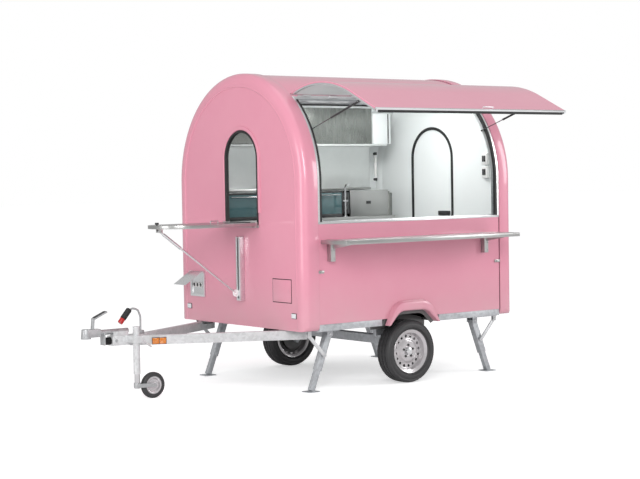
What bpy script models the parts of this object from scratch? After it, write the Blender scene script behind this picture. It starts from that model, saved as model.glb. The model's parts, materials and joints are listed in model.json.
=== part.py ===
"""Single-axle food trailer with an arched body, parked on its corner steadies and jockey wheel.

Trailer coordinates: +X runs from the drawbar to the rear wall, the serving side is -Y, and z = 0 is
the ground. Everything hangs on one empty, which centres the whole machine on the world's origin.
"""

import math

import bmesh
import bpy
from mathutils import Matrix, Vector

# Body shell
BODY_LENGTH = 2.52
HALF_WIDTH = 1.00
ARCH_CENTRE_Z = 1.87
WALL = 0.030
CAP_LENGTH = 0.16
CAP_EDGE_RADIUS = 0.10
CAP_RIM_PROUD = 0.006
CAP_RIM_FLAT = 0.008
CAP_CORNER = 0.05
PANEL_RECESS = 0.010
PANEL_OUT = HALF_WIDTH - PANEL_RECESS
CAP_EDGE_DEPTH = 0.06
CAP_BOTTOM = 0.555
ARCH_STEPS = 24
EDGE_STEPS = 4
SEAT = 0.0003
CLEAR = 0.005

# Chassis
RAIL_TOP = 0.61
RAIL_DEPTH = 0.06
RAIL_WIDTH = 0.05
RAIL_OUTER_Y = HALF_WIDTH - 0.015
INNER_RAIL_Y = HALF_WIDTH - 0.28
FLOOR_THICKNESS = 0.034
FRAME_END_GAP = 0.005

# Road wheels
WHEEL_X = BODY_LENGTH / 2 - 0.03
TYRE_RADIUS = 0.29
TYRE_WIDTH = 0.18
WHEEL_Y = HALF_WIDTH - 0.095
RIM_RADIUS = 0.1778
RIM_FLANGE = 0.2025
STUB_RADIUS = 0.030
RIM_VENTS = 16
RIM_VENT = 0.010
RIM_VENT_AT = 0.139
AXLE_X = WHEEL_X - 0.16
AXLE_Z = 0.40
AXLE_SIZE = 0.08
ARM_THICKNESS = 0.028
WHEEL_BOX_TOP = 0.70
WHEEL_BOX_HALF = 0.335
WHEEL_BOX_WALL = 0.005

# Wheel arch in the side panels
ARCH_OPEN_TOP = 0.655
ARCH_OPEN_HALF_LOW = 0.285
ARCH_OPEN_HALF_HIGH = 0.16
FLARE_BAND = 0.045
FLARE_TOP = 0.766
FLARE_LOW = 0.527
FLARE_REACH = 0.045
FLARE_SLOPE = 0.022
FLARE_SHOULDER = 0.11

# Serving opening and hatch
SILL_Z = 1.507
OPENING_END = 0.19
HINGE_OUT = 0.012
HATCH_HINGE_Y = -0.66 * HALF_WIDTH
HATCH_EDGE_DROP = 0.010
ROOF_EDGE_RISE = 0.020
HATCH_OPEN = math.radians(64.4)
HATCH_END = 0.13
HATCH_GAP = 0.006
HATCH_LAP = 0.02
HATCH_LINER = 0.012
HATCH_SKIN = 0.014
FRAME_LAP = 0.015
FRAME_DEPTH = 0.030
PIN_RADIUS = 0.004
GAS_TUBE_RADIUS = 0.010
GAS_ROD_RADIUS = 0.004
GAS_TUBE_LENGTH = 0.40
GAS_ROD_GRIP = 0.12
GAS_BORE = 0.335
GAS_EYE_HALF = 0.005
GAS_PLANE = 0.017
GAS_FRAME_Z = ARCH_CENTRE_Z + 0.46
GAS_HATCH_DROP = 0.80
GAS_HATCH_INSET = 0.055
HINGE_FOOT_LIFT = -0.0115
HINGE_FOOT_LENGTH = 0.08
KNUCKLE_RADIUS = 0.018
KNUCKLE_LENGTH = 0.08

# Counter
COUNTER_TOP = 1.36
COUNTER_THICKNESS = 0.036
COUNTER_DEPTH = 0.365
COUNTER_GAP = 0.05
COUNTER_START = 0.15
COUNTER_END = BODY_LENGTH - 0.29
BRACKET_HEIGHT = 0.195
BRACKET_WIDTH = 0.05
BRACKET_X = (COUNTER_START + 0.135, COUNTER_END - 0.09)

# Front window, flap and its strut
FRONT_Y = -0.06
WINDOW_SURROUND = 0.035
SURROUND_PROUD = 0.010
WINDOW_HALF = 0.245
WINDOW_LOW = 1.507
WINDOW_HIGH = 2.33
GASKET = 0.02
FLAP_HINGE_X = -0.030
FLAP_HINGE_Z = 1.505
FLAP_LENGTH = 0.93
FLAP_HALF = 0.28
FLAP_THICKNESS = 0.03
FLAP_PIVOT_X = FLAP_HINGE_X - FLAP_LENGTH + 0.07
STRUT_RADIUS = 0.009
STRUT_SLEEVE = 0.014
STRUT_SLEEVE_LENGTH = 0.27
STRUT_DROP = 0.022
STRUT_FOOT_Z = 0.86
RAIL_FRONT = 0.055
STRUT_RAIL_LOW = 0.79
STRUT_RAIL_HIGH = 1.375
STRUT_RAIL_HALF = 0.03
STRUT_SLOT_HALF = 0.024
STRUT_MOUTH_HALF = 0.0125
ROLLER_RADIUS = 0.034

# Mains inlet on the front wall
INLET_LOW = (0.56, 0.79)
INLET_HIGH = (0.80, 1.03)
INLET_PROUD = 0.018
INLET_LID_OPEN = math.radians(58)

# Rear door
DOOR_LOW_Y = -0.19
DOOR_HIGH_Y = 0.40
DOOR_BOTTOM = 0.665
DOOR_TOP = 2.375
DOOR_GAP = 0.006
DOOR_THICKNESS = 0.028
DOOR_HINGE_OUT = 0.015
DOOR_HINGE_SIDE = 0.014

# Kitchen
UNIT_START = 0.17
UNIT_END = BODY_LENGTH - 0.22
UNIT_BACK = HALF_WIDTH - 0.045
UNIT_FRONT = UNIT_BACK - 0.485
UNIT_TOP = 1.50
OVEN_TOP = 1.765
OVEN_END = UNIT_END - 0.58
STEEL_BOX_LENGTH = 0.50
SHEET = 0.015
SPLASH_TOP = 2.235
SPLASH_Y = UNIT_BACK - 0.067
SPLASH_SHEET = 0.008
SHELF_DEPTH = 0.30
HOOD_DEPTH = 0.268
HOOD_LENGTH = 1.03
HOOD_TOP = 2.47

# Corner steadies
LEG_Y = HALF_WIDTH - 0.175
LEG_SIZE = 0.06
LEG_INNER = 0.048
LEG_OUTER_LENGTH = 0.34
PIVOT_IN = 0.375
PIVOT_Z = 0.505
FOOT_IN = 0.18
FOOT_SIZE = 0.12
FOOT_THICKNESS = 0.008
KNEE_DOWN = 0.20
BRACE_TOP_IN = 0.133
BRACE_WIDTH = 0.025
BRACE_THICKNESS = 0.006
BRACE_OFFSET = LEG_SIZE / 2 + 0.018
STEADY_FOLD = math.radians(70)

# Drawbar, coupling and jockey wheel
DRAWBAR_HEIGHT = 0.084
DRAWBAR_WIDTH = 0.045
DRAWBAR_APEX_X = -1.17
DRAWBAR_SLOPE = 0.55
DRAWBAR_END_X = 0.20
HOUSING_START = -1.377
HOUSING_END = -1.02
HOUSING_HALF = 0.05
HOUSING_LOW = 0.475
HOUSING_HIGH = 0.560
BELLOWS_RADIUS = 0.034
BELLOWS_END = -1.44
NOSE_X = -1.66
SHAFT_Z = 0.597
SHAFT_RADIUS = 0.024
SHAFT_START = -1.50
SHAFT_END = -1.20
CUP_LOW = 0.55
CUP_HIGH = 0.635
JOCKEY_X = -1.20
JOCKEY_Y = -0.145
JOCKEY_TUBE = 0.030
JOCKEY_STEM = 0.024
JOCKEY_TUBE_LOW = 0.225
JOCKEY_TUBE_TOP = 0.64
JOCKEY_STEM_LOW = 0.15
JOCKEY_WHEEL_RADIUS = 0.115
JOCKEY_WHEEL_WIDTH = 0.055
JOCKEY_TRAIL = 0.157
JOCKEY_LIFT = JOCKEY_TUBE_LOW - JOCKEY_STEM_LOW - CLEAR

LAMP_Y = HALF_WIDTH - 0.16
LAMP_Z = 0.69
LAMP_SIZE = 0.07
LAMP_PROUD = 0.012
REAR_LAMP_IN = 0.03
REAR_LAMP_PROUD = 0.03

HATCH_RADIUS = HALF_WIDTH + HINGE_OUT
HATCH_HINGE = Vector((0, HATCH_HINGE_Y, ARCH_CENTRE_Z + math.sqrt(HATCH_RADIUS**2 - HATCH_HINGE_Y**2)))
HINGE_SPREAD = BODY_LENGTH / 2 - OPENING_END - 0.14
HINGE_ANGLE = math.atan2(-HATCH_HINGE.y, HATCH_HINGE.z - ARCH_CENTRE_Z)
CAP_SEAM = CAP_LENGTH + SEAT

for old in list(bpy.data.objects):
    bpy.data.objects.remove(old, do_unlink=True)

PARTS = bpy.data.collections.new("food_trailer")
HELPERS = bpy.data.collections.new("cutters")
bpy.context.scene.collection.children.link(PARTS)
bpy.context.scene.collection.children.link(HELPERS)
ROOT = bpy.data.objects.new("trailer", None)
PARTS.objects.link(ROOT)


def finish(name, colour, roughness, metallic=0.0):
    material = bpy.data.materials.new(name)
    material.use_nodes = True
    shader = material.node_tree.nodes["Principled BSDF"]
    shader.inputs["Base Color"].default_value = (*colour, 1)
    shader.inputs["Roughness"].default_value = roughness
    shader.inputs["Metallic"].default_value = metallic
    return material


PINK = finish("pink_gelcoat", (0.70, 0.33, 0.41), 0.15)
GALVANISED = finish("galvanised_steel", (0.55, 0.57, 0.58), 0.45, 0.9)
STAINLESS = finish("stainless_steel", (0.62, 0.62, 0.60), 0.28, 1.0)
ALUMINIUM = finish("aluminium", (0.72, 0.73, 0.74), 0.35, 1.0)
RUBBER = finish("black_rubber", (0.02, 0.02, 0.022), 0.8)
BLACK = finish("black_plastic", (0.03, 0.03, 0.03), 0.5)
WHEEL_SILVER = finish("silver_wheel", (0.66, 0.66, 0.68), 0.35, 0.6)
FLOOR_GREY = finish("floor_grey", (0.33, 0.34, 0.35), 0.7)
LAMP_CLEAR = finish("clear_lamp", (0.85, 0.87, 0.88), 0.1)
LAMP_RED = finish("red_lamp", (0.55, 0.03, 0.02), 0.2)


def keep(name, mesh, material, origin=(0, 0, 0), helper=False):
    """An object in the trailer's frame, whose origin is its own place or its joint's axis."""
    obj = bpy.data.objects.new(name, mesh)
    (HELPERS if helper else PARTS).objects.link(obj)
    origin = Vector(origin)
    mesh.transform(Matrix.Translation(-origin))
    obj.location = origin
    obj.parent = ROOT
    if helper:
        obj.hide_render = True
        obj.display_type = "WIRE"
    elif material:
        mesh.materials.append(material)
        mesh.shade_smooth()
        mesh.set_sharp_from_angle(angle=math.radians(35))
    return obj


def face_outward(shape):
    bmesh.ops.recalc_face_normals(shape, faces=shape.faces)
    if shape.calc_volume(signed=True) < 0:
        bmesh.ops.reverse_faces(shape, faces=shape.faces)


def mesh_from(shape, name):
    face_outward(shape)
    mesh = bpy.data.meshes.new(name)
    shape.to_mesh(mesh)
    shape.free()
    return mesh


def box_mesh(low, high, name="box"):
    low, high = Vector(low), Vector(high)
    shape = bmesh.new()
    bmesh.ops.create_cube(shape, size=1.0)
    bmesh.ops.scale(shape, vec=high - low, verts=shape.verts)
    bmesh.ops.translate(shape, vec=(low + high) / 2, verts=shape.verts)
    return mesh_from(shape, name)


def beam_mesh(start, end, width, height, side=(0, 1, 0), name="beam"):
    """A rectangular bar from start to end, its width measured along side."""
    start, end = Vector(start), Vector(end)
    along = (end - start).normalized()
    across = Vector(side)
    across = (across - along * across.dot(along)).normalized()
    up = along.cross(across)
    turn = Matrix((along, across, up)).transposed().to_4x4()
    shape = bmesh.new()
    bmesh.ops.create_cube(shape, size=1.0)
    bmesh.ops.scale(shape, vec=((end - start).length, width, height), verts=shape.verts)
    bmesh.ops.transform(shape, matrix=Matrix.Translation((start + end) / 2) @ turn, verts=shape.verts)
    return mesh_from(shape, name)


def rod_mesh(start, end, radius, sides=16, end_radius=None, name="rod"):
    start, end = Vector(start), Vector(end)
    turn = Vector((0, 0, 1)).rotation_difference(end - start).to_matrix().to_4x4()
    shape = bmesh.new()
    bmesh.ops.create_cone(
        shape,
        cap_ends=True,
        segments=sides,
        radius1=radius,
        radius2=radius if end_radius is None else end_radius,
        depth=(end - start).length,
    )
    bmesh.ops.transform(shape, matrix=Matrix.Translation((start + end) / 2) @ turn, verts=shape.verts)
    return mesh_from(shape, name)


def baked(obj):
    """The object's evaluated mesh, welded, with the object itself removed."""
    graph = bpy.context.evaluated_depsgraph_get()
    mesh = bpy.data.meshes.new_from_object(obj.evaluated_get(graph))
    bpy.data.objects.remove(obj, do_unlink=True)
    shape = bmesh.new()
    shape.from_mesh(mesh)
    bmesh.ops.remove_doubles(shape, verts=shape.verts, dist=1e-5)
    face_outward(shape)
    shape.to_mesh(mesh)
    shape.free()
    return mesh


def flat_mesh(outlines, low, high, plane, name="outline"):
    """Closed outlines, the later ones holes, extruded from low to high across a plane."""
    curve = bpy.data.curves.new(name, "CURVE")
    curve.dimensions = "2D"
    curve.fill_mode = "BOTH"
    curve.extrude = (high - low) / 2
    for outline in outlines:
        spline = curve.splines.new("POLY")
        spline.points.add(len(outline) - 1)
        for point, (u, v) in zip(spline.points, outline):
            point.co = (u, v, 0, 1)
        spline.use_cyclic_u = True
    drawn = bpy.data.objects.new(name, curve)
    HELPERS.objects.link(drawn)
    mesh = baked(drawn)
    turns = {
        "XY": Matrix(((1, 0, 0), (0, 1, 0), (0, 0, 1))),
        "XZ": Matrix(((1, 0, 0), (0, 0, -1), (0, 1, 0))),
        "YZ": Matrix(((0, 0, 1), (1, 0, 0), (0, 1, 0))),
    }
    middle = (low + high) / 2
    shift = {"XY": (0, 0, middle), "XZ": (0, middle, 0), "YZ": (middle, 0, 0)}[plane]
    mesh.transform(Matrix.Translation(shift) @ turns[plane].to_4x4())
    return mesh


def turned_mesh(profile, centre, axis, steps, name="turned"):
    """A profile of (radius, distance along the axis) points, turned once round the axis."""
    shape = bmesh.new()
    corners = [shape.verts.new((r, 0, t)) for r, t in profile]
    for here, there in zip(corners, corners[1:]):
        shape.edges.new((here, there))
    if profile[0][0] > 0:
        shape.edges.new((corners[-1], corners[0]))
    mesh = bpy.data.meshes.new(name)
    shape.to_mesh(mesh)
    shape.free()
    obj = bpy.data.objects.new(name, mesh)
    HELPERS.objects.link(obj)
    screw = obj.modifiers.new("turn", "SCREW")
    screw.steps = steps
    screw.render_steps = steps
    screw.use_merge_vertices = True
    screw.merge_threshold = 1e-5
    mesh = baked(obj)
    turn = Vector((0, 0, 1)).rotation_difference(Vector(axis)).to_matrix().to_4x4()
    mesh.transform(Matrix.Translation(centre) @ turn)
    return mesh


def combine(obj, operation, meshes):
    """Joins meshes to an object, or cuts them out of it, each through a hidden helper."""
    for number, mesh in enumerate(meshes):
        tool = keep(f"{obj.name}_{operation.lower()}_{number}", mesh, None, helper=True)
        step = obj.modifiers.new(f"{operation.lower()}_{number}", "BOOLEAN")
        step.operation = operation
        step.object = tool
    return obj


def join(obj, *meshes):
    return combine(obj, "UNION", meshes)


def cut(obj, *meshes):
    return combine(obj, "DIFFERENCE", meshes)


def rounded(low, high, radius, steps=4):
    """A rectangle with round corners."""
    points = []
    corners = ((high[0], low[1], -90), (high[0], high[1], 0), (low[0], high[1], 90), (low[0], low[1], 180))
    middle = ((low[0] + high[0]) / 2, (low[1] + high[1]) / 2)
    for x, y, start in corners:
        cx = x + math.copysign(radius, middle[0] - x)
        cy = y + math.copysign(radius, middle[1] - y)
        for step in range(steps + 1):
            angle = math.radians(start + 90 * step / steps)
            points.append((cx + radius * math.cos(angle), cy + radius * math.sin(angle)))
    return points


def arch_points(radius, low, first=-90.0, last=90.0):
    """The body's arch seen along X, from the serving side over the roof to the far side.

    Angles are degrees from straight up, negative on the serving side; a full half adds the wall.
    """
    points = [(-radius, low)] if first <= -90 else []
    count = max(2, round(ARCH_STEPS * (last - first) / 180))
    for step in range(count + 1):
        angle = math.radians(first + (last - first) * step / count)
        points.append((radius * math.sin(angle), ARCH_CENTRE_Z + radius * math.cos(angle)))
    return points + ([(radius, low)] if last >= 90 else [])


def arch_band(outer, inner, low, first=-90.0, last=90.0):
    return arch_points(outer, low, first, last) + arch_points(inner, low, first, last)[::-1]


def gothic(half, low, high, centre=0.0, steps=12):
    """An upright opening with a half-round top."""
    spring = high - half
    points = [(centre - half, low), (centre + half, low)]
    for step in range(steps + 1):
        angle = math.pi * step / steps
        points.append((centre + half * math.cos(angle), spring + half * math.sin(angle)))
    return points


def end_cap(name, at_rear):
    """A moulded end wall: flat in the middle, with its edge rolled round into the arch."""
    shape = bmesh.new()
    rings = []
    for step in range(EDGE_STEPS + 1):
        angle = math.pi / 2 * step / EDGE_STEPS
        inset = CAP_EDGE_RADIUS * (1 - math.sin(angle))
        depth = CAP_EDGE_DEPTH + CAP_RIM_PROUD
        rings.append((CAP_EDGE_DEPTH - depth * math.cos(angle), inset))
    rings.append((CAP_LENGTH, 0))
    rings.insert(0, (-CAP_RIM_PROUD, CAP_EDGE_RADIUS + CAP_RIM_FLAT))
    rings.insert(0, (0, CAP_EDGE_RADIUS + CAP_RIM_FLAT + CAP_RIM_PROUD * 1.5))
    loops = []
    for x, inset in rings:
        place = BODY_LENGTH - x if at_rear else x
        arch = arch_points(HALF_WIDTH - inset, CAP_BOTTOM)
        loops.append([shape.verts.new((place, y, z)) for y, z in arch])
    for near, far in zip(loops, loops[1:]):
        for a, b, c, d in zip(near, near[1:], far[1:], far):
            shape.faces.new((a, b, c, d))
    wall = shape.faces.new(loops[0])
    bmesh.ops.recalc_face_normals(shape, faces=shape.faces)
    if wall.normal.x * (1 if at_rear else -1) < 0:
        bmesh.ops.reverse_faces(shape, faces=shape.faces)
    mesh = bpy.data.meshes.new(name)
    shape.to_mesh(mesh)
    shape.free()
    cap = keep(name, mesh, PINK)
    skin = cap.modifiers.new("wall", "SOLIDIFY")
    skin.thickness = WALL
    skin.offset = -1
    skin.use_even_offset = True
    corners = []
    for side in (-1, 1):
        y, z, r = side * HALF_WIDTH, CAP_BOTTOM, CAP_CORNER
        edge = [(y + side * 0.02, z - 0.02), (y - side * r, z - 0.02)]
        for step in range(7):
            angle = math.pi / 2 * step / 6
            across, rise = r * (1 - math.sin(angle)), r * (1 - math.cos(angle))
            edge.append((y - side * across, z + rise))
        edge.append((y + side * 0.02, z + r))
        corners.append(flat_mesh([edge], -0.1, BODY_LENGTH + 0.1, "YZ"))
    return cut(cap, *corners)


def front_wall():
    cap = end_cap("front_cap", at_rear=False)
    grown = GASKET + WINDOW_SURROUND
    low, high = WINDOW_LOW - GASKET, WINDOW_HIGH + grown
    surround = gothic(WINDOW_HALF + grown, low, high, FRONT_Y)
    flush = gothic(WINDOW_HALF + grown - 0.01, low, high - 0.01, FRONT_Y)
    steps = [flat_mesh([surround], -SURROUND_PROUD / 2, 0.02, "YZ")]
    steps.append(flat_mesh([flush], -SURROUND_PROUD, 0.02, "YZ"))
    join(cap, *steps)
    window = gothic(WINDOW_HALF + GASKET, WINDOW_LOW - GASKET, WINDOW_HIGH + GASKET, FRONT_Y)
    cut(cap, flat_mesh([window], -0.1, 0.1, "YZ"))
    outline = WINDOW_HALF + GASKET - SEAT, WINDOW_LOW - GASKET + SEAT, WINDOW_HIGH + GASKET - SEAT
    outer = gothic(*outline, FRONT_Y)
    inner = gothic(WINDOW_HALF, WINDOW_LOW, WINDOW_HIGH, FRONT_Y)
    keep("window_gasket", flat_mesh([outer, inner], -0.006, WALL + 0.006, "YZ"), RUBBER)


def door_outline(grow):
    half = (DOOR_HIGH_Y - DOOR_LOW_Y) / 2
    return gothic(half + grow, DOOR_BOTTOM - grow, DOOR_TOP + grow, (DOOR_LOW_Y + DOOR_HIGH_Y) / 2)


def rear_wall():
    cap = end_cap("rear_cap", at_rear=True)
    cut(cap, flat_mesh([door_outline(0)], BODY_LENGTH - 0.1, BODY_LENGTH + 0.1, "YZ"))
    door_x = BODY_LENGTH - DOOR_THICKNESS
    axis = (BODY_LENGTH + DOOR_HINGE_OUT, DOOR_HIGH_Y + DOOR_HINGE_SIDE, 0)
    panel = flat_mesh([door_outline(-DOOR_GAP)], door_x, BODY_LENGTH, "YZ")
    door = keep("rear_door", panel, PINK, axis)
    leaves = []
    for z in (1.05, 1.95):
        leaves.append(rod_mesh((axis[0], axis[1], z - 0.045), (axis[0], axis[1], z + 0.015), 0.009, 12))
        low = (BODY_LENGTH - 0.002, DOOR_HIGH_Y - 0.08, z - 0.045)
        leaves.append(box_mesh(low, (BODY_LENGTH + 0.012, DOOR_HIGH_Y - 0.015, z + 0.015)))
        low = (BODY_LENGTH + 0.006, DOOR_HIGH_Y - 0.08, z - 0.045)
        leaves.append(box_mesh(low, (BODY_LENGTH + 0.012, axis[1], z + 0.015)))
    lock_y = DOOR_LOW_Y + 0.07
    low = (BODY_LENGTH - 0.002, lock_y - 0.03, 1.47)
    leaves.append(box_mesh(low, (BODY_LENGTH + 0.022, lock_y + 0.03, 1.61)))
    leaves.append(box_mesh((door_x - 0.03, lock_y - 0.035, 1.45), (door_x + 0.002, lock_y + 0.035, 1.60)))
    join(door, *leaves)
    knuckles = []
    for z in (1.05, 1.95):
        knuckles.append(rod_mesh((axis[0], axis[1], z + 0.0155), (axis[0], axis[1], z + 0.065), 0.009, 12))
        foot = (BODY_LENGTH - 0.002, axis[1], z + 0.0155)
        knuckles.append(box_mesh(foot, (BODY_LENGTH + 0.012, axis[1] + 0.07, z + 0.065)))
    join(cap, *knuckles)


def trapezoid(low, high, half_low, half_high):
    x = WHEEL_X
    return [(x - half_low, low), (x + half_low, low), (x + half_high, high), (x - half_high, high)]


def wheel_arch(low, high, half_low, half_high, radius, steps=5):
    """A trapezoid over the wheel whose two shoulders are rounded."""
    slope = math.atan2(high - low, half_low - half_high)
    points = [(WHEEL_X - half_low, low), (WHEEL_X + half_low, low)]
    reach = radius * math.tan(slope / 2)
    centre = (half_high - reach, high - radius)
    arc = []
    for step in range(steps + 1):
        angle = math.pi / 2 - slope + slope * step / steps
        arc.append((centre[0] + radius * math.cos(angle), centre[1] + radius * math.sin(angle)))
    points += [(WHEEL_X + u, v) for u, v in arc]
    points += [(WHEEL_X - u, v) for u, v in arc[::-1]]
    return points


def lofted(first, second, y0, y1):
    """A solid between two outlines of as many points, seen along Y."""
    shape = bmesh.new()
    loops = [[shape.verts.new((x, y, z)) for x, z in loop] for loop, y in ((first, y0), (second, y1))]
    count = len(first)
    for i in range(count):
        j = (i + 1) % count
        shape.faces.new((loops[0][i], loops[0][j], loops[1][j], loops[1][i]))
    shape.faces.new(loops[0][::-1])
    shape.faces.new(loops[1])
    return mesh_from(shape, "lofted")


def side_panels():
    """Flat lower walls, each with a wheel opening and the flared lip round it."""
    start = CAP_SEAM
    end = BODY_LENGTH - CAP_SEAM
    for side, name in ((-1, "serving_side_panel"), (1, "far_side_panel")):
        inner, outer = sorted((side * (HALF_WIDTH - WALL), side * PANEL_OUT))
        low = RAIL_TOP + SEAT
        panel = keep(name, box_mesh((start, inner, low), (end, outer, SILL_Z)), PINK)
        flare_half = ARCH_OPEN_HALF_LOW + FLARE_BAND
        top_half = ARCH_OPEN_HALF_HIGH + FLARE_BAND
        base = wheel_arch(FLARE_LOW, FLARE_TOP, flare_half, top_half, FLARE_SHOULDER)
        lip_top = FLARE_TOP - FLARE_SLOPE * 1.4
        draft = FLARE_SLOPE / 2
        lip = wheel_arch(FLARE_LOW, lip_top, flare_half - draft, top_half - draft, FLARE_SHOULDER)
        join(panel, lofted(base, base, side * (HALF_WIDTH - WALL), side * (PANEL_OUT + 0.004)))
        join(panel, lofted(base, lip, side * (PANEL_OUT + 0.004), side * (HALF_WIDTH + FLARE_REACH)))
        shoulder = FLARE_SHOULDER - 0.02
        halves = ARCH_OPEN_HALF_LOW, ARCH_OPEN_HALF_HIGH
        opening = wheel_arch(FLARE_LOW - 0.1, ARCH_OPEN_TOP, *halves, shoulder)
        inside, outside = HALF_WIDTH - WALL - 0.05, HALF_WIDTH + FLARE_REACH + 0.05
        cut(panel, lofted(opening, opening, side * inside, side * outside))


def roof():
    """One moulding over the top, from the serving sill round to the far side panel."""
    low = SILL_Z + SEAT
    band = arch_band(PANEL_OUT, HALF_WIDTH - WALL, low)
    shell = keep("roof_shell", flat_mesh([band], CAP_SEAM, BODY_LENGTH - CAP_SEAM, "YZ"), PINK)
    edge_angle = HINGE_ANGLE - ROOF_EDGE_RISE / HALF_WIDTH
    inner, reach = HALF_WIDTH * 0.5, HALF_WIDTH * 1.3
    mouth = [
        (-inner * math.sin(edge_angle), ARCH_CENTRE_Z + inner * math.cos(edge_angle)),
        (-reach * math.sin(edge_angle), ARCH_CENTRE_Z + reach * math.cos(edge_angle)),
        (-reach, SILL_Z - 0.1),
        (-inner * math.sin(edge_angle), SILL_Z - 0.1),
    ]
    cut(shell, flat_mesh([mouth], OPENING_END, BODY_LENGTH - OPENING_END, "YZ"))


def floor():
    radius = CAP_EDGE_RADIUS - WALL / 2
    gap = WALL + SEAT
    outline = rounded((gap, -HALF_WIDTH + gap), (BODY_LENGTH - gap, HALF_WIDTH - gap), radius)
    low = RAIL_TOP + SEAT
    board = keep("floor", flat_mesh([outline], low, low + FLOOR_THICKNESS, "XY"), FLOOR_GREY)
    notch_y = WHEEL_Y - TYRE_WIDTH / 2 - 0.045
    for side in (-1, 1):
        near, far = sorted((side * (notch_y - SEAT), side * (HALF_WIDTH + 0.05)))
        half = WHEEL_BOX_HALF + SEAT
        cut(board, box_mesh((WHEEL_X - half, near, low - 0.05), (WHEEL_X + half, far, low + 0.1)))
        wheel_box(side, notch_y)


def wheel_box(side, inner_y):
    """The black inner mudguard, open below and towards the wheel arch."""
    name = "wheel_box_near" if side < 0 else "wheel_box_far"
    wall = WHEEL_BOX_WALL
    low = RAIL_TOP - RAIL_DEPTH
    outer_y = HALF_WIDTH - WALL - SEAT
    near, far = sorted((side * inner_y, side * outer_y))
    outer = trapezoid(low, WHEEL_BOX_TOP, WHEEL_BOX_HALF, WHEEL_BOX_HALF - 0.07)
    box = keep(name, flat_mesh([outer], near, far, "XZ"), BLACK)
    near, far = sorted((side * (inner_y + wall), side * (outer_y + 0.1)))
    inner = trapezoid(low - 0.1, WHEEL_BOX_TOP - wall, WHEEL_BOX_HALF - wall, WHEEL_BOX_HALF - 0.07 - wall)
    cut(box, flat_mesh([inner], near, far, "XZ"))


def serving_frame():
    """The aluminium frame behind the serving opening, which the closed hatch seals on."""
    outer = HALF_WIDTH - WALL - CLEAR
    inner = outer - FRAME_DEPTH
    top = -math.degrees(HINGE_ANGLE - ROOF_EDGE_RISE / HALF_WIDTH) + 2.0
    low = SILL_Z - 0.03
    band = arch_band(outer, inner, low, -90, top)
    start = OPENING_END - 0.03
    frame = keep("serving_frame", flat_mesh([band], start, BODY_LENGTH - start, "YZ"), ALUMINIUM)
    inside = OPENING_END + FRAME_LAP
    edge_angle = HINGE_ANGLE + 0.03
    depth, reach = HALF_WIDTH * 0.5, HALF_WIDTH * 1.3
    mouth = [
        (-depth, ARCH_CENTRE_Z + depth / math.tan(edge_angle)),
        (-reach * math.sin(edge_angle), ARCH_CENTRE_Z + reach * math.cos(edge_angle)),
        (-reach, SILL_Z + FRAME_LAP),
        (-depth, SILL_Z + FRAME_LAP),
    ]
    cut(frame, flat_mesh([mouth], inside, BODY_LENGTH - inside, "YZ"))
    feet = []
    for x in (OPENING_END - 0.02, BODY_LENGTH - OPENING_END + 0.01):
        feet.append(box_mesh((x, -(HALF_WIDTH - WALL - SEAT), low), (x + 0.01, -outer + 0.002, 1.80)))
    boss = gas_frame_pin()
    for at_rear in (False, True):
        x0 = mirror_x(inside - 0.001, at_rear)
        x1 = mirror_x(inside + GAS_PLANE - GAS_EYE_HALF - SEAT, at_rear)
        feet.append(rod_mesh((x0, boss.y, boss.z), (x1, boss.y, boss.z), 0.009, 12))
    join(frame, *feet)


def mirror_x(x, at_rear):
    return BODY_LENGTH - x if at_rear else x


def gas_frame_pin():
    radius = HALF_WIDTH - WALL - CLEAR - FRAME_DEPTH / 2
    rise = GAS_FRAME_Z - ARCH_CENTRE_Z
    return Vector((0, -math.sqrt(radius**2 - rise**2), GAS_FRAME_Z))


def gas_hatch_pin(is_open=True):
    """The strut's pin on the hatch; closed it lies just inside the wall's line."""
    closed = Vector((0, -(HALF_WIDTH - GAS_HATCH_INSET), HATCH_HINGE.z - GAS_HATCH_DROP))
    return swung(closed) if is_open else closed


def swung(point):
    turn = Matrix.Rotation(-HATCH_OPEN, 4, "X")
    centre = Matrix.Translation(HATCH_HINGE)
    return centre @ turn @ centre.inverted() @ point


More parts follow.
